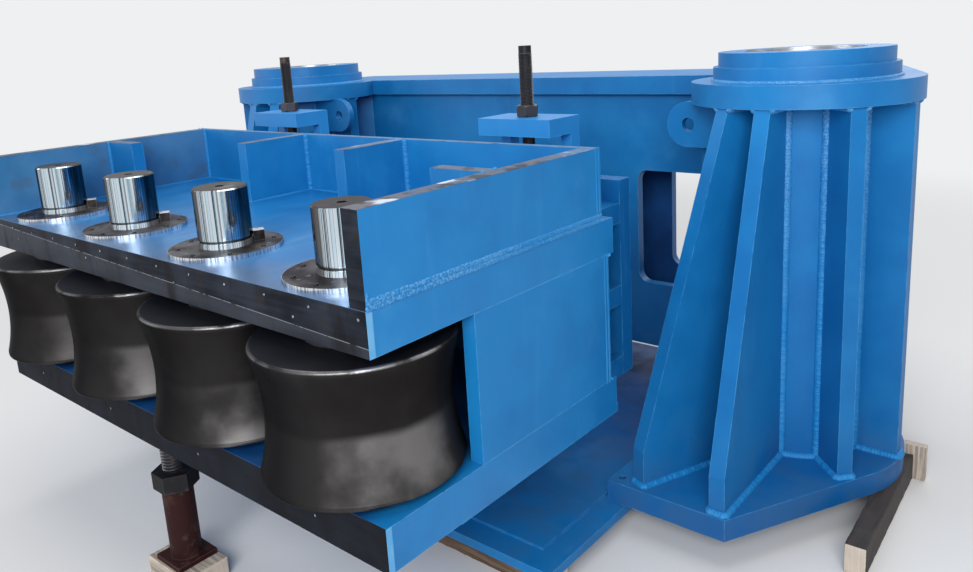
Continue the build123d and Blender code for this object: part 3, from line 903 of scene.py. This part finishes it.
class MACHINE_OT_steel(bpy.types.Operator):
    """Finish the rollers, shafts, collars, studs and the jack"""

    bl_idname = "machine.steel"
    bl_label = "Rollers, shafts and jack"

    def execute(self, context):
        dress(self.roller_steel(), "roller_1", "roller_2", "roller_3", "roller_4")
        dress(self.shaft_steel(), "roller_shafts")
        dress(self.collar_steel(), "shaft_collars", "thrust_collars")
        dress(self.keeper_steel(), "shaft_keepers")
        dress(self.black_steel(), "hanger_studs", "jack_screw")
        dress(self.jack_paint(), "screw_jack")
        return {"FINISHED"}

    def around_shaft(self, s):
        """Angle round the nearest shaft, its radius, and the height."""
        x, y, z = s.xyz()
        shifted = x - (ROLLER_XS[0] - ROLLER_PITCH / 2)
        across = shifted.math("FLOORED_MODULO", ROLLER_PITCH) - ROLLER_PITCH / 2
        deep = y - ROLLER_Y
        return deep.math("ARCTAN2", across), across_axis(across, deep), z

    def roller_steel(self):
        """Near-black oiled steel. Below the waist it is greyer, a painted reflection of the floor,
        with pale patches toward the right front that are painted reflections of overhead light; the
        side turned away is darkened as painted shade, and the rims are paler where rubbed and as a
        painted highlight.
        """
        material, s = new_material("roller_steel")
        angle, radius, z = self.around_shaft(s)
        turned = s.noise(3, 3, stretch=(1, 1, 130))
        cloud = s.noise(6, 5)
        low, high = ROLLER_LOW.z, ROLLER_HIGH.z
        waist = (low + high) / 2
        half = (high - low) / 2
        # Greyer below the waist: a painted reflection of the floor.
        below = s.rise(z + (cloud - 0.5) * 0.03, waist + 0.010, waist - 0.016)
        outer = s.rise(radius, ROLLER_RADIUS - 0.010, ROLLER_RADIUS - 0.006)
        rim = s.rise(abs(z - waist), half - 0.009, half - 0.004) * outer
        # Toward the right front, and more toward the right of the row: pale patches as painted
        # reflections of overhead light; turned away: darker as painted shade.
        facing = (angle + 0.42).math("COSINE")
        row = s.rise(s.xyz()[0], ROLLER_XS[0], ROLLER_XS[3]) * 0.65 + 0.35
        painted_reflection = s.rise(facing + (cloud - 0.5) * 0.5, 0.74, 1.0) * row
        oil_and_painted_dark = s.rise(facing, 0.84, 0.30)
        pale = s.rise(s.noise(3.4, 3) * 0.6 + cloud * 0.4, 0.36, 0.62) * (painted_reflection * 0.86 + 0.14)
        dust_and_reflection = s.mix(pale, (0.028, 0.027, 0.028), (0.165, 0.158, 0.157))
        # Rims paler where rubbed, and as a painted highlight.
        wear_and_highlight = rim * s.blots(12, 4, 0.32, 0.60) * (1.0 - below * 0.85)
        colour = s.layers(
            (0.016, 0.014, 0.014),
            (s.rise(cloud, 0.35, 0.7), s.colours.roller_steel),
            (below * (painted_reflection * 0.55 + 0.45), dust_and_reflection),
            (oil_and_painted_dark * 0.6, (0.007, 0.008, 0.010)),
            (s.at_or_over(z, high) * 0.8, (0.050, 0.053, 0.064)),
            (s.blots(2.4, 4, 0.56, 0.70) * 0.2, (0.08, 0.08, 0.085)),
            (wear_and_highlight * (painted_reflection * 0.6 + 0.18), (0.46, 0.45, 0.45)),
        )
        roughness = 0.32 + turned * 0.10 + cloud * 0.14 - rim * 0.08
        s.surface(colour, roughness, 0.9, (turned, 0.0003, 0.4), edge=0.42)
        return material

    def shaft_steel(self):
        """Ground and polished bar, oily on its end; its lengthwise stripes of light and dark, its
        bluish and warm casts and its dark flank are painted reflections, and its groove is painted
        dark as shade.
        """
        material, s = new_material("shaft_steel")
        angle, radius, z = self.around_shaft(s)
        # Stripes of light and dark round the bar, its bluish and warm casts and its dark flank:
        # painted reflections of the surroundings.
        streak = s.noise(1.0, 3, at=s.vector(angle * 15, z * 0.2, 0))
        fine = s.noise(1.0, 2, at=s.vector(angle * 38, z * 0.3, 4))
        cool = s.noise(1.0, 1, at=s.vector(angle * 5, 0, 9))
        bright = s.mix(s.rise(cool, 0.42, 0.58), (0.74, 0.78, 0.82), (0.50, 0.68, 0.80))
        turned = (angle * 2 + 1.47).math("COSINE")
        oil_and_painted_dark = s.rise(turned + (cool - 0.5) * 0.3, 0.16, -0.10)
        groove_foot = COLLAR_HIGH.z + GROOVE_HEIGHT
        base = s.rise(z, groove_foot + 0.001, groove_foot)
        groove = s.rise(abs(z - GROOVE_MIDDLE), 0.0038, 0.0030)
        end = s.rise(z, SHAFT_TOP - 0.0012, SHAFT_TOP - 0.0004)
        oily = s.mix(s.blots(15, 4, 0.58, 0.70) * 0.5, (0.070, 0.055, 0.052),
                     (0.44, 0.42, 0.42))
        colour = s.layers(
            (0.055, 0.062, 0.078),
            (s.rise(streak, 0.38, 0.45), bright),
            (s.rise(fine, 0.53, 0.59) * 0.92, (0.030, 0.032, 0.040)),
            (oil_and_painted_dark * 0.88, (0.070, 0.062, 0.058)),
            # The groove painted dark: painted shade in the recess.
            (groove * 0.85, (0.022, 0.022, 0.026)),
            (end, oily),
        )
        roughness = 0.08 + fine * 0.05 + end * 0.20 + groove * 0.3 + base * 0.16
        s.surface(colour, roughness, 1.0 - base * 0.75, (fine, 0.0002, 0.3), edge=0.6)
        return material

    def collar_steel(self):
        """Machined discs, dark with oil on top, with bright rims whose stripes round them are
        painted reflections.
        """
        material, s = new_material("collar_steel")
        angle, radius, z = self.around_shaft(s)
        turned = s.noise(1.0, 2, at=s.vector(radius * 700, 0, z * 500))
        cloud = s.noise(13, 5)
        rim = s.rise(radius, COLLAR_RADIUS - 0.0020, COLLAR_RADIUS - 0.0010)
        # Stripes round the bright rim: painted reflections.
        streak = s.blots(1.0, 3, 0.42, 0.56, at=s.vector(angle * 26, 0, 0))
        bare = s.mix(streak, (0.34, 0.36, 0.39), s.colours.bright_steel)
        colour = s.layers(
            (0.036, 0.030, 0.034),
            (s.rise(cloud, 0.36, 0.64), s.colours.collar_steel),
            (turned * 0.15, (0.33, 0.34, 0.36)),
            (s.blots(24, 4, 0.56, 0.68) * 0.35, s.colours.rust),
            (s.blots(30, 3, 0.62, 0.70) * 0.5, (0.42, 0.42, 0.44)),
            (rim, bare),
        )
        s.surface(colour, 0.30 + cloud * 0.2 - rim * 0.2, 0.95, (turned, 0.0003, 0.5),
                  edge=0.55)
        return material

    def keeper_steel(self):
        """Small dark blocks with rubbed edges and bright tops."""
        material, s = new_material("keeper_steel")
        x, y, z = s.xyz()
        cloud = s.noise(40, 4)
        colour = s.layers(
            (0.022, 0.020, 0.022),
            (s.rise(cloud, 0.35, 0.65), (0.050, 0.044, 0.044)),
            (s.edges(0.002) * 0.5, (0.50, 0.50, 0.52)),
            (s.at_or_over(z, KEEPER_TOP) * s.rise(cloud, 0.25, 0.45), s.colours.bright_steel),
        )
        s.surface(colour, 0.26 + cloud * 0.2, 0.9, (cloud, 0.0003, 0.5), edge=0.6)
        return material

    def black_steel(self):
        """Black nuts and studs with a little rust and rubbed edges."""
        material, s = new_material("black_steel")
        cloud = s.noise(22, 5)
        colour = s.layers(
            s.colours.black_steel,
            (s.rise(cloud, 0.50, 0.72) * 0.35, s.colours.rust),
            (s.edges(0.003) * 0.35, (0.12, 0.12, 0.13)),
        )
        s.surface(colour, 0.36 + cloud * 0.22, 0.75, (cloud, 0.0005, 0.5), edge=0.6)
        return material

    def jack_paint(self):
        """Worn red-brown primer of the jack's cast body."""
        material, s = new_material("jack_paint")
        cloud = s.noise(16, 5)
        colour = s.layers(
            s.colours.jack_red,
            (s.rise(cloud, 0.50, 0.72) * 0.22, s.colours.rust),
            (s.blots(45, 4, 0.62, 0.70) * 0.4, s.colours.grime),
            (s.edges(0.004) * 0.35, (0.20, 0.12, 0.10)),
        )
        s.surface(colour, 0.50 + cloud * 0.3, 0.0, (cloud, 0.0010, 0.6), level=0.15)
        return material


def socket_screw(radius, height):
    """Head of a socket screw, standing on z = 0 with its socket upwards."""
    screw = cylinder(18, radius, height + 0.001, (0, 0, (height - 0.001) / 2))
    chamfer, rim, socket = radius * 0.10, radius * 0.38, height * 0.6
    select_only(screw, "polygons", lambda face: face.normal.z > 0.9)
    with edit_mode(keep=True):
        bpy.ops.mesh.select_mode(type="FACE")
        bpy.ops.mesh.inset(thickness=chamfer, depth=chamfer)
        bpy.ops.mesh.inset(thickness=rim)
        bpy.ops.mesh.extrude_region_move(TRANSFORM_OT_translate={"value": (0, 0, -socket)})
    return screw


class MACHINE_OT_collar_screws(bpy.types.Operator):
    """Put socket screws round the shaft collars"""

    bl_idname = "machine.collar_screws"
    bl_label = "Collar screws"

    COUNT = 8
    CIRCLE = 0.128
    HEIGHT = 0.003
    FIRST = 0.35

    def execute(self, context):
        places = []
        for shaft_x in ROLLER_XS:
            for i in range(self.COUNT):
                turn = math.radians(360 / self.COUNT * (i + self.FIRST))
                places.append((shaft_x + self.CIRCLE * math.cos(turn),
                               ROLLER_Y + self.CIRCLE * math.sin(turn), COLLAR_HIGH.z))
        pieces = copies(socket_screw(sizes().screw_head, self.HEIGHT), places)
        finish_piece(join(pieces, "collar_screws"), "frame",
                     bpy.data.materials["black_steel"])
        return {"FINISHED"}


class MACHINE_OT_slab_plugs(bpy.types.Operator):
    """Put small plugs along the slabs' front faces"""

    bl_idname = "machine.slab_plugs"
    bl_label = "Slab plugs"

    SPACING = 0.1627
    FIRST = 0.0246
    BELOW_DECK = 0.021
    LOWER_ROW = 0.055
    HEIGHT = 0.0015

    def execute(self, context):
        plug = socket_screw(sizes().plug_radius, self.HEIGHT)
        plug.rotation_euler = (math.radians(90), 0, 0)
        settle(plug)
        count = int((2 * BOX_HALF - self.FIRST) / self.SPACING) + 1
        places = [
            (TOP_SLAB_HIGH.x - self.FIRST - i * self.SPACING, FRONT, DECK - self.BELOW_DECK)
            for i in range(count)
        ]
        for x in ROLLER_XS:
            places.append((x, FRONT, DECK - self.LOWER_ROW))
            places.append((x, FRONT, (BOTTOM_SLAB_LOW.z + BOTTOM_SLAB_HIGH.z) / 2))
        pieces = copies(plug, places)
        material, s = new_material("plug_steel")
        cloud = s.noise(120, 3)
        colour = s.mix(s.rise(cloud, 0.4, 0.6), (0.10, 0.10, 0.11), (0.34, 0.35, 0.37))
        s.surface(colour, 0.28 + cloud * 0.2, 0.9, (cloud, 0.0002, 0.4))
        finish_piece(join(pieces, "slab_plugs"), "frame", material)
        return {"FINISHED"}


def thread(axis_x, axis_y, low, high, radius, pitch, depth):
    """A helical ridge on a round bar, closed at both ends."""
    pick()
    bpy.ops.mesh.primitive_circle_add(
        vertices=4, radius=depth, location=(radius, 0, 0), rotation=(math.radians(90), 0, 0)
    )
    ridge = settle(bpy.context.object)
    turns = max(1, int((high - low - 2 * depth) / pitch))
    modify(ridge, "SCREW", axis="Z", angle=2 * math.pi, screw_offset=pitch, iterations=turns,
           steps=20, render_steps=20, use_smooth_shade=True)
    with edit_mode():
        bpy.ops.mesh.remove_doubles(threshold=0.00001)
        bpy.ops.mesh.fill_holes(sides=0)
        bpy.ops.mesh.normals_make_consistent(inside=False)
    ridge.location = (axis_x, axis_y, low + depth)
    return settle(ridge)


class MACHINE_OT_threads(bpy.types.Operator):
    """Cut threads on the hanger studs and the jack's screw"""

    bl_idname = "machine.threads"
    bl_label = "Threads"

    PLAIN_END = 0.018
    OVERLAP = 0.004
    STUD_DEPTH = 0.45
    JACK_DEPTH = 0.32

    def execute(self, context):
        black = bpy.data.materials["black_steel"]
        pitch = sizes().stud_pitch
        ridges = [
            thread(side * STUD_X, STUD_Y, NUT_HIGH.z - self.OVERLAP,
                   STUD_HIGH.z - self.PLAIN_END, STUD_RADIUS, pitch, pitch * self.STUD_DEPTH)
            for word, side in SIDES
        ]
        finish_piece(join(ridges, "stud_threads"), "frame", black, smooth=30.0)
        pitch = sizes().jack_pitch
        ridge = thread(JACK_X, JACK_Y, JACK_LOW.z + JACK_NUT_HEIGHT - self.OVERLAP,
                       JACK_HIGH.z - self.OVERLAP, JACK_SCREW_RADIUS, pitch,
                       pitch * self.JACK_DEPTH)
        finish_piece(join([ridge], "jack_thread"), "frame", black, smooth=30.0)
        return {"FINISHED"}


class MACHINE_OT_nuts(bpy.types.Operator):
    """Chamfer the hanger nuts"""

    bl_idname = "machine.nuts"
    bl_label = "Hanger nuts"

    CHAMFER = 1.15
    CLEARANCE = 0.0012

    def execute(self, context):
        height = NUT_HIGH.z - NUT_LOW.z
        corner = NUT_HIGH.x - STUD_X
        flat = (NUT_HIGH.y - NUT_LOW.y) / 2
        nuts = []
        for word, side in SIDES:
            middle = (side * STUD_X, STUD_Y, (NUT_HIGH.z + NUT_LOW.z) / 2)
            nut = cylinder(6, corner, height, middle, (0, 0, math.radians(30)))
            cone = cylinder(48, corner, height, middle)
            modify(cone, "BEVEL", width=(corner - flat) * self.CHAMFER, segments=1,
                   limit_method="ANGLE")
            bore = cylinder(32, STUD_RADIUS + self.CLEARANCE, height * 2, middle)
            for tool, operation in ((cone, "INTERSECT"), (bore, "DIFFERENCE")):
                modify(nut, "BOOLEAN", operation=operation, solver="EXACT", object=tool)
                remove(tool)
            nuts.append(nut)
        piece = join(nuts, "chamfered_nuts")
        finish_piece(piece, "frame", bpy.data.materials["black_steel"], smooth=25)
        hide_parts("hanger_nuts")
        return {"FINISHED"}


class MACHINE_OT_timbers(bpy.types.Operator):
    """Give the packing timbers sawn faces, worn arrises and grain"""

    bl_idname = "machine.timbers"
    bl_label = "Packing timbers"

    ARRIS = 0.003
    SAWN_DEPTH = 0.0035
    CELL = 0.014
    HALVINGS = 9

    def execute(self, context):
        colours = palette()
        # Node, piece, colour, axis of the grain, and how stained it is
        looks = (
            ("timber_packers", "packing_timbers", colours.timber_brown, 0, 0.6),
            ("foot_timbers", "stained_timbers", colours.timber_stain, 1, 0.8),
            ("foot_chocks", "chock_timbers", colours.timber_pale, 2, 0.2),
            ("jack_block", "jack_timber", colours.timber_pale, 0, 0.3),
        )
        sawn = bpy.data.textures.new("sawn_faces", "CLOUDS")
        sawn.noise_scale = 0.03
        for node, name, tone, axis, stain in looks:
            piece = copy_of(frame["nodes"][node])
            piece.parent = None
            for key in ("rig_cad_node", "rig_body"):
                if key in piece:
                    del piece[key]
            self.shape(piece, sawn)
            piece = join([piece], name)
            material = self.grain(name, node, tone, axis, stain)
            finish_piece(piece, "frame", material, smooth=50.0)
            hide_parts(node)
        return {"FINISHED"}

    def shape(self, piece, sawn):
        """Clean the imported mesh, wear its arrises and roughen its faces."""
        pick(piece)
        with edit_mode():
            bpy.ops.mesh.remove_doubles(threshold=0.00001)
            bpy.ops.mesh.dissolve_limited(angle_limit=math.radians(2))
        modify(piece, "BEVEL", width=self.ARRIS, segments=2, limit_method="ANGLE")
        self.cut_fine(piece)
        modify(piece, "DISPLACE", texture=sawn, mid_level=1.0, strength=self.SAWN_DEPTH)

    def cut_fine(self, piece):
        """Halve the long edges until the faces are fine enough to be roughened."""

        def is_long(edge):
            start, end = (piece.data.vertices[i].co for i in edge.vertices)
            return (end - start).length > self.CELL

        with edit_mode(keep=True):
            bpy.ops.mesh.select_mode(type="EDGE")
        for _ in range(self.HALVINGS):
            if not select_only(piece, "edges", is_long):
                break
            with edit_mode(keep=True):
                bpy.ops.mesh.subdivide(number_cuts=1)

    def grain(self, name, node, tone, axis, stain):
        """Grain along one axis, growth rings on the sawn ends."""
        material, s = new_material(name)
        pale = s.colours.timber_pale
        stretch = [1, 1, 1]
        stretch[axis] = 0.05
        fibre = s.noise(95, 4, stretch=tuple(stretch))
        broad = s.noise(7, 4)
        low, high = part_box(node)
        middle = (low + high) / 2
        place = s.xyz()
        radius = across_axis(*(place[i] - middle[i] for i in range(3) if i != axis))
        rings = s.noise(1.0, 2, at=s.vector(radius * 160 + broad * 4, 0, 0))
        end = s.rise(abs(s.split(s.normal())[axis]), 0.75, 0.9)
        side = s.layers(
            [channel * 0.45 for channel in tone[:3]],
            (s.rise(fibre, 0.35, 0.65), tone),
            (s.rise(broad, 0.5, 0.75) * stain * 0.6, s.colours.grime),
        )
        ends = s.layers(
            pale,
            (s.rise(rings, 0.35, 0.65) * 0.5, [channel * 0.72 for channel in pale[:3]]),
            (s.rise(broad, 0.52, 0.74) * 0.3, s.colours.grime),
        )
        height = fibre + (rings - fibre) * end
        s.surface(s.mix(end, side, ends), 0.72 + fibre * 0.15, 0.0, (height, 0.0012, 0.8))
        return material


class MACHINE_OT_box_welds(bpy.types.Operator):
    """Weld the roll box"""

    bl_idname = "machine.box_welds"
    bl_label = "Roll box welds"

    SEED = 3
    END_SEED = 5
    SEAMS = (0.006, 0.020)
    # Width and height of rows on flat faces
    SEAM = (0.009, 0.0012)
    FOOT_ROW = (0.016, 0.0025)
    UPTURN = (0.010, 0.002)

    def execute(self, context):
        leg = sizes().weld_leg
        bench = WeldBench(leg, sizes().weld_ripple, self.SEED)

        def flat(x0, y0, x1, y1, face):
            """A small fillet along the deck."""
            bench.fillet((x0, y0, DECK), (x1, y1, DECK), face, Z, leg * 0.6)

        def upright(x, y, face_a, face_b, gap=0.003, share=1.0):
            """A fillet from the deck to just under the wall's top."""
            bench.fillet((x, y, DECK), (x, y, WALL_TOP - gap), face_a, face_b, leg * share)

        wall, wall_back = WALL_LOW.y, WALL_HIGH.y
        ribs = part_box("deck_ribs")
        rib_front, rib_outer = ribs[0].y, ribs[1].x
        rib_inner = rib_outer - DECK_RIB_THICKNESS
        corner_front, corner_back = (corner.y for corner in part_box("corner_ribs"))
        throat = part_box("throat_wall")[1].y
        for word, side in SIDES:
            x = WALL_HIGH.x if side > 0 else WALL_LOW.x
            toward = -side * X
            flat(x, FRONT + 0.004, x, corner_front, toward)
            flat(x, corner_back, x, wall, toward)
            upright(x, wall, toward, -Y)
            for y, face in ((corner_front, -Y), (corner_back, Y)):
                upright(x, y, toward, face)
                flat(x - side * CORNER_RIB_LENGTH, y, x, y, face)
            for rib_x, face in ((rib_outer, side * X), (rib_inner, -side * X)):
                flat(side * rib_x, rib_front, side * rib_x, wall, face)
                upright(side * rib_x, wall, face, -Y, 0.004, 1.6)
            flat(side * rib_inner, rib_front, side * rib_outer, rib_front, -Y)
            flat(side * rib_outer, wall, x, wall, -Y)
        flat(-rib_inner, wall, rib_inner, wall, -Y)
        left, right = TOP_SLAB_LOW.x, TOP_SLAB_HIGH.x
        bench.fillet((left, wall_back, DECK), (right, wall_back, DECK), Y, Z)
        for z, face in ((BOTTOM_SLAB_HIGH.z, Z), (TOP_SLAB_LOW.z, -Z)):
            bench.fillet((left, throat, z), (right, throat, z), Y, face)
        for x, out in ((right, X), (left, -X)):
            for seam in self.SEAMS:
                for y, low, high in (
                    (wall_back - seam, DECK + 0.03, WALL_TOP - 0.004),
                    (throat - seam, BOTTOM_SLAB_HIGH.z, TOP_SLAB_LOW.z),
                ):
                    bench.run((x, y, low), (x, y, high), out, *self.SEAM)
        bench.finish("box_welds", weld_paint("box_weld_paint"))
        self.end_welds(wall_back)
        return {"FINISHED"}

    def end_welds(self, wall_back):
        """Two rows along the foot of each end plate, turned up at the front."""
        bench = WeldBench(0.013, 0.007, self.END_SEED, lap=0.9)
        for x, out in ((TOP_SLAB_HIGH.x, X), (TOP_SLAB_LOW.x, -X)):
            for z, inset in ((0.004, 0.002), (0.017, 0.005)):
                bench.run((x, FRONT + inset, DECK + z), (x, wall_back, DECK + z), out,
                          *self.FOOT_ROW)
            bench.run((x, FRONT + 0.007, DECK + 0.018), (x, FRONT + 0.007, DECK + 0.034), out,
                      *self.UPTURN)

        def dust_and_reflection(s, x, y, z):
            return s.rise(y, wall_back, FRONT) * 0.32 + 0.18

        bench.finish("end_welds", weld_paint("end_weld_paint", dust_and_reflection))


def rib_plan():
    """Heading, toe reach and head reach of each rib; heading 0 points to the front."""
    plan = [(RAKED_RIB_ANGLE, RAKED_RIB_TOE, RIB_HEAD_REACH), (0, FRONT_RIB_TOE, RIB_HEAD_REACH)]
    plan += [(angle, SIDE_RIB_REACH, SIDE_RIB_REACH) for angle in STRAIGHT_RIB_ANGLES]
    for angle in REAR_RIB_ANGLES:
        to_beam = (FRONT_WEB_LOW.y - COLUMN_Y) / abs(math.cos(math.radians(angle)))
        reach = min(to_beam, SIDE_RIB_REACH)
        plan.append((angle, reach, reach))
    return plan


class MACHINE_OT_column_welds(bpy.types.Operator):
    """Weld the columns' ribs, barrels and rings"""

    bl_idname = "machine.column_welds"
    bl_label = "Column welds"

    SEED = 11

    def execute(self, context):
        def dust_and_reflection(s, x, y, z):
            return s.rise(z, 0.55, 1.45) * 0.45

        paint = weld_paint("column_weld_paint", dust_and_reflection)
        leg = sizes().weld_leg
        half = RIB_THICKNESS / 2
        start = math.sqrt(BARREL_RADIUS**2 - half**2)
        for seed, (word, side) in enumerate(SIDES, self.SEED):
            bench = WeldBench(leg * 1.7, sizes().weld_ripple * 1.1, seed)
            axis = Vector((side * COLUMN_X, COLUMN_Y, 0))
            low = axis + Z * FOOT_TOP
            high = axis + Z * FLANGE_LOW.z
            for angle, toe, head in rib_plan():
                heading = math.radians(angle)
                along = Vector((side * math.sin(heading), -math.cos(heading), 0))
                across = Vector((-along.y, along.x, 0))
                for face in (across, -across):
                    root = along * start + face * half
                    bench.fillet(low + root, high + root, face, along)
                    bench.fillet(low + root, low + along * toe + face * half, face, Z)
                    bench.fillet(high + root, high + along * head + face * half, face, -Z)
                end = low + along * toe
                bench.fillet(end - across * half, end + across * half, along, Z)
            bench.ring(low, BARREL_RADIUS, Z)
            bench.ring(high, BARREL_RADIUS, -Z)
            bench.ring(axis + Z * FLANGE_HIGH.z, RING_STEP_RADIUS, Z, leg)
            bench.finish(f"column_welds_{word}", paint)
        return {"FINISHED"}


class MACHINE_OT_beam_welds(bpy.types.Operator):
    """Weld the cross beam, the lifting ears and the hangers"""

    bl_idname = "machine.beam_welds"
    bl_label = "Beam, ear and hanger welds"

    EAR_WELD = 0.14
    SEED = 21
    # Width and height of the rows down the webs' ends
    SEAM = (0.012, 0.0016)

    def execute(self, context):
        leg = sizes().weld_leg
        bench = WeldBench(leg, sizes().weld_ripple * 1.1, self.SEED)
        top = FLANGE_LOW.z
        end = FRONT_WEB_HIGH.x
        front, back = FRONT_WEB_LOW.y, REAR_WEB_HIGH.y
        ear_low, ear_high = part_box("lifting_ears")
        plate_low, plate_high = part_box("carriage_plate")
        for y, face in ((front, -Y), (back, Y)):
            bench.fillet((-end, y, top), (end, y, top), face, -Z)
        for word, side in SIDES:
            x = side * end
            bench.fillet((x, front, top), (x, back, top), side * X, -Z)
            for y in (FRONT_WEB_HIGH.y, REAR_WEB_LOW.y):
                bench.run((x, y, FRONT_WEB_LOW.z + 0.004), (x, y, top - 0.01), side * X,
                          *self.SEAM)
            for y, face in ((ear_low.y, -Y), (ear_high.y, Y)):
                root = COLUMN_X - math.sqrt(BARREL_RADIUS**2 - (y - COLUMN_Y) ** 2)
                corner = (side * root, y, top)
                bench.fillet((side * root, y, ear_low.z), corner, face, -side * X)
                bench.fillet((side * (root - self.EAR_WELD), y, top), corner, face, -Z)
            low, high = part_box(f"hanger_block_{word}")
            for x, out in ((low.x, -X), (high.x, X)):
                bench.fillet((x, plate_low.y + 0.003, plate_high.z),
                             (x, high.y - 0.003, plate_high.z), out, Z, leg * 0.8)
        bench.finish("beam_welds", weld_paint("beam_weld_paint"))
        return {"FINISHED"}


class MACHINE_PT_sidebar(bpy.types.Panel):
    """Lists the machine's operators, sizes and colours"""

    bl_idname = "MACHINE_PT_sidebar"
    bl_label = "Press bending machine"
    bl_space_type = "VIEW_3D"
    bl_region_type = "UI"
    bl_category = "Machine"

    def draw(self, context):
        for operator in OPERATORS:
            self.layout.operator(operator.bl_idname)
        for group in (context.scene.machine_sizes, context.scene.machine_colours):
            box = self.layout.box()
            for name in group.__annotations__:
                box.prop(group, name)


OPERATORS = (
    MACHINE_OT_stage,
    MACHINE_OT_paint,
    MACHINE_OT_steel,
    MACHINE_OT_timbers,
    MACHINE_OT_collar_screws,
    MACHINE_OT_slab_plugs,
    MACHINE_OT_threads,
    MACHINE_OT_nuts,
    MACHINE_OT_box_welds,
    MACHINE_OT_column_welds,
    MACHINE_OT_beam_welds,
)
CLASSES = (MachineSizes, MachineColours) + OPERATORS + (MACHINE_PT_sidebar,)


def register():
    for one in CLASSES:
        bpy.utils.register_class(one)
    bpy.types.Scene.machine_sizes = PointerProperty(type=MachineSizes)
    bpy.types.Scene.machine_colours = PointerProperty(type=MachineColours)


def unregister():
    del bpy.types.Scene.machine_colours
    del bpy.types.Scene.machine_sizes
    for one in reversed(CLASSES):
        bpy.utils.unregister_class(one)


def main():
    register()
    for operator in OPERATORS:
        group, name = operator.bl_idname.split(".")
        getattr(getattr(bpy.ops, group), name)()


if __name__ == "__main__":
    main()
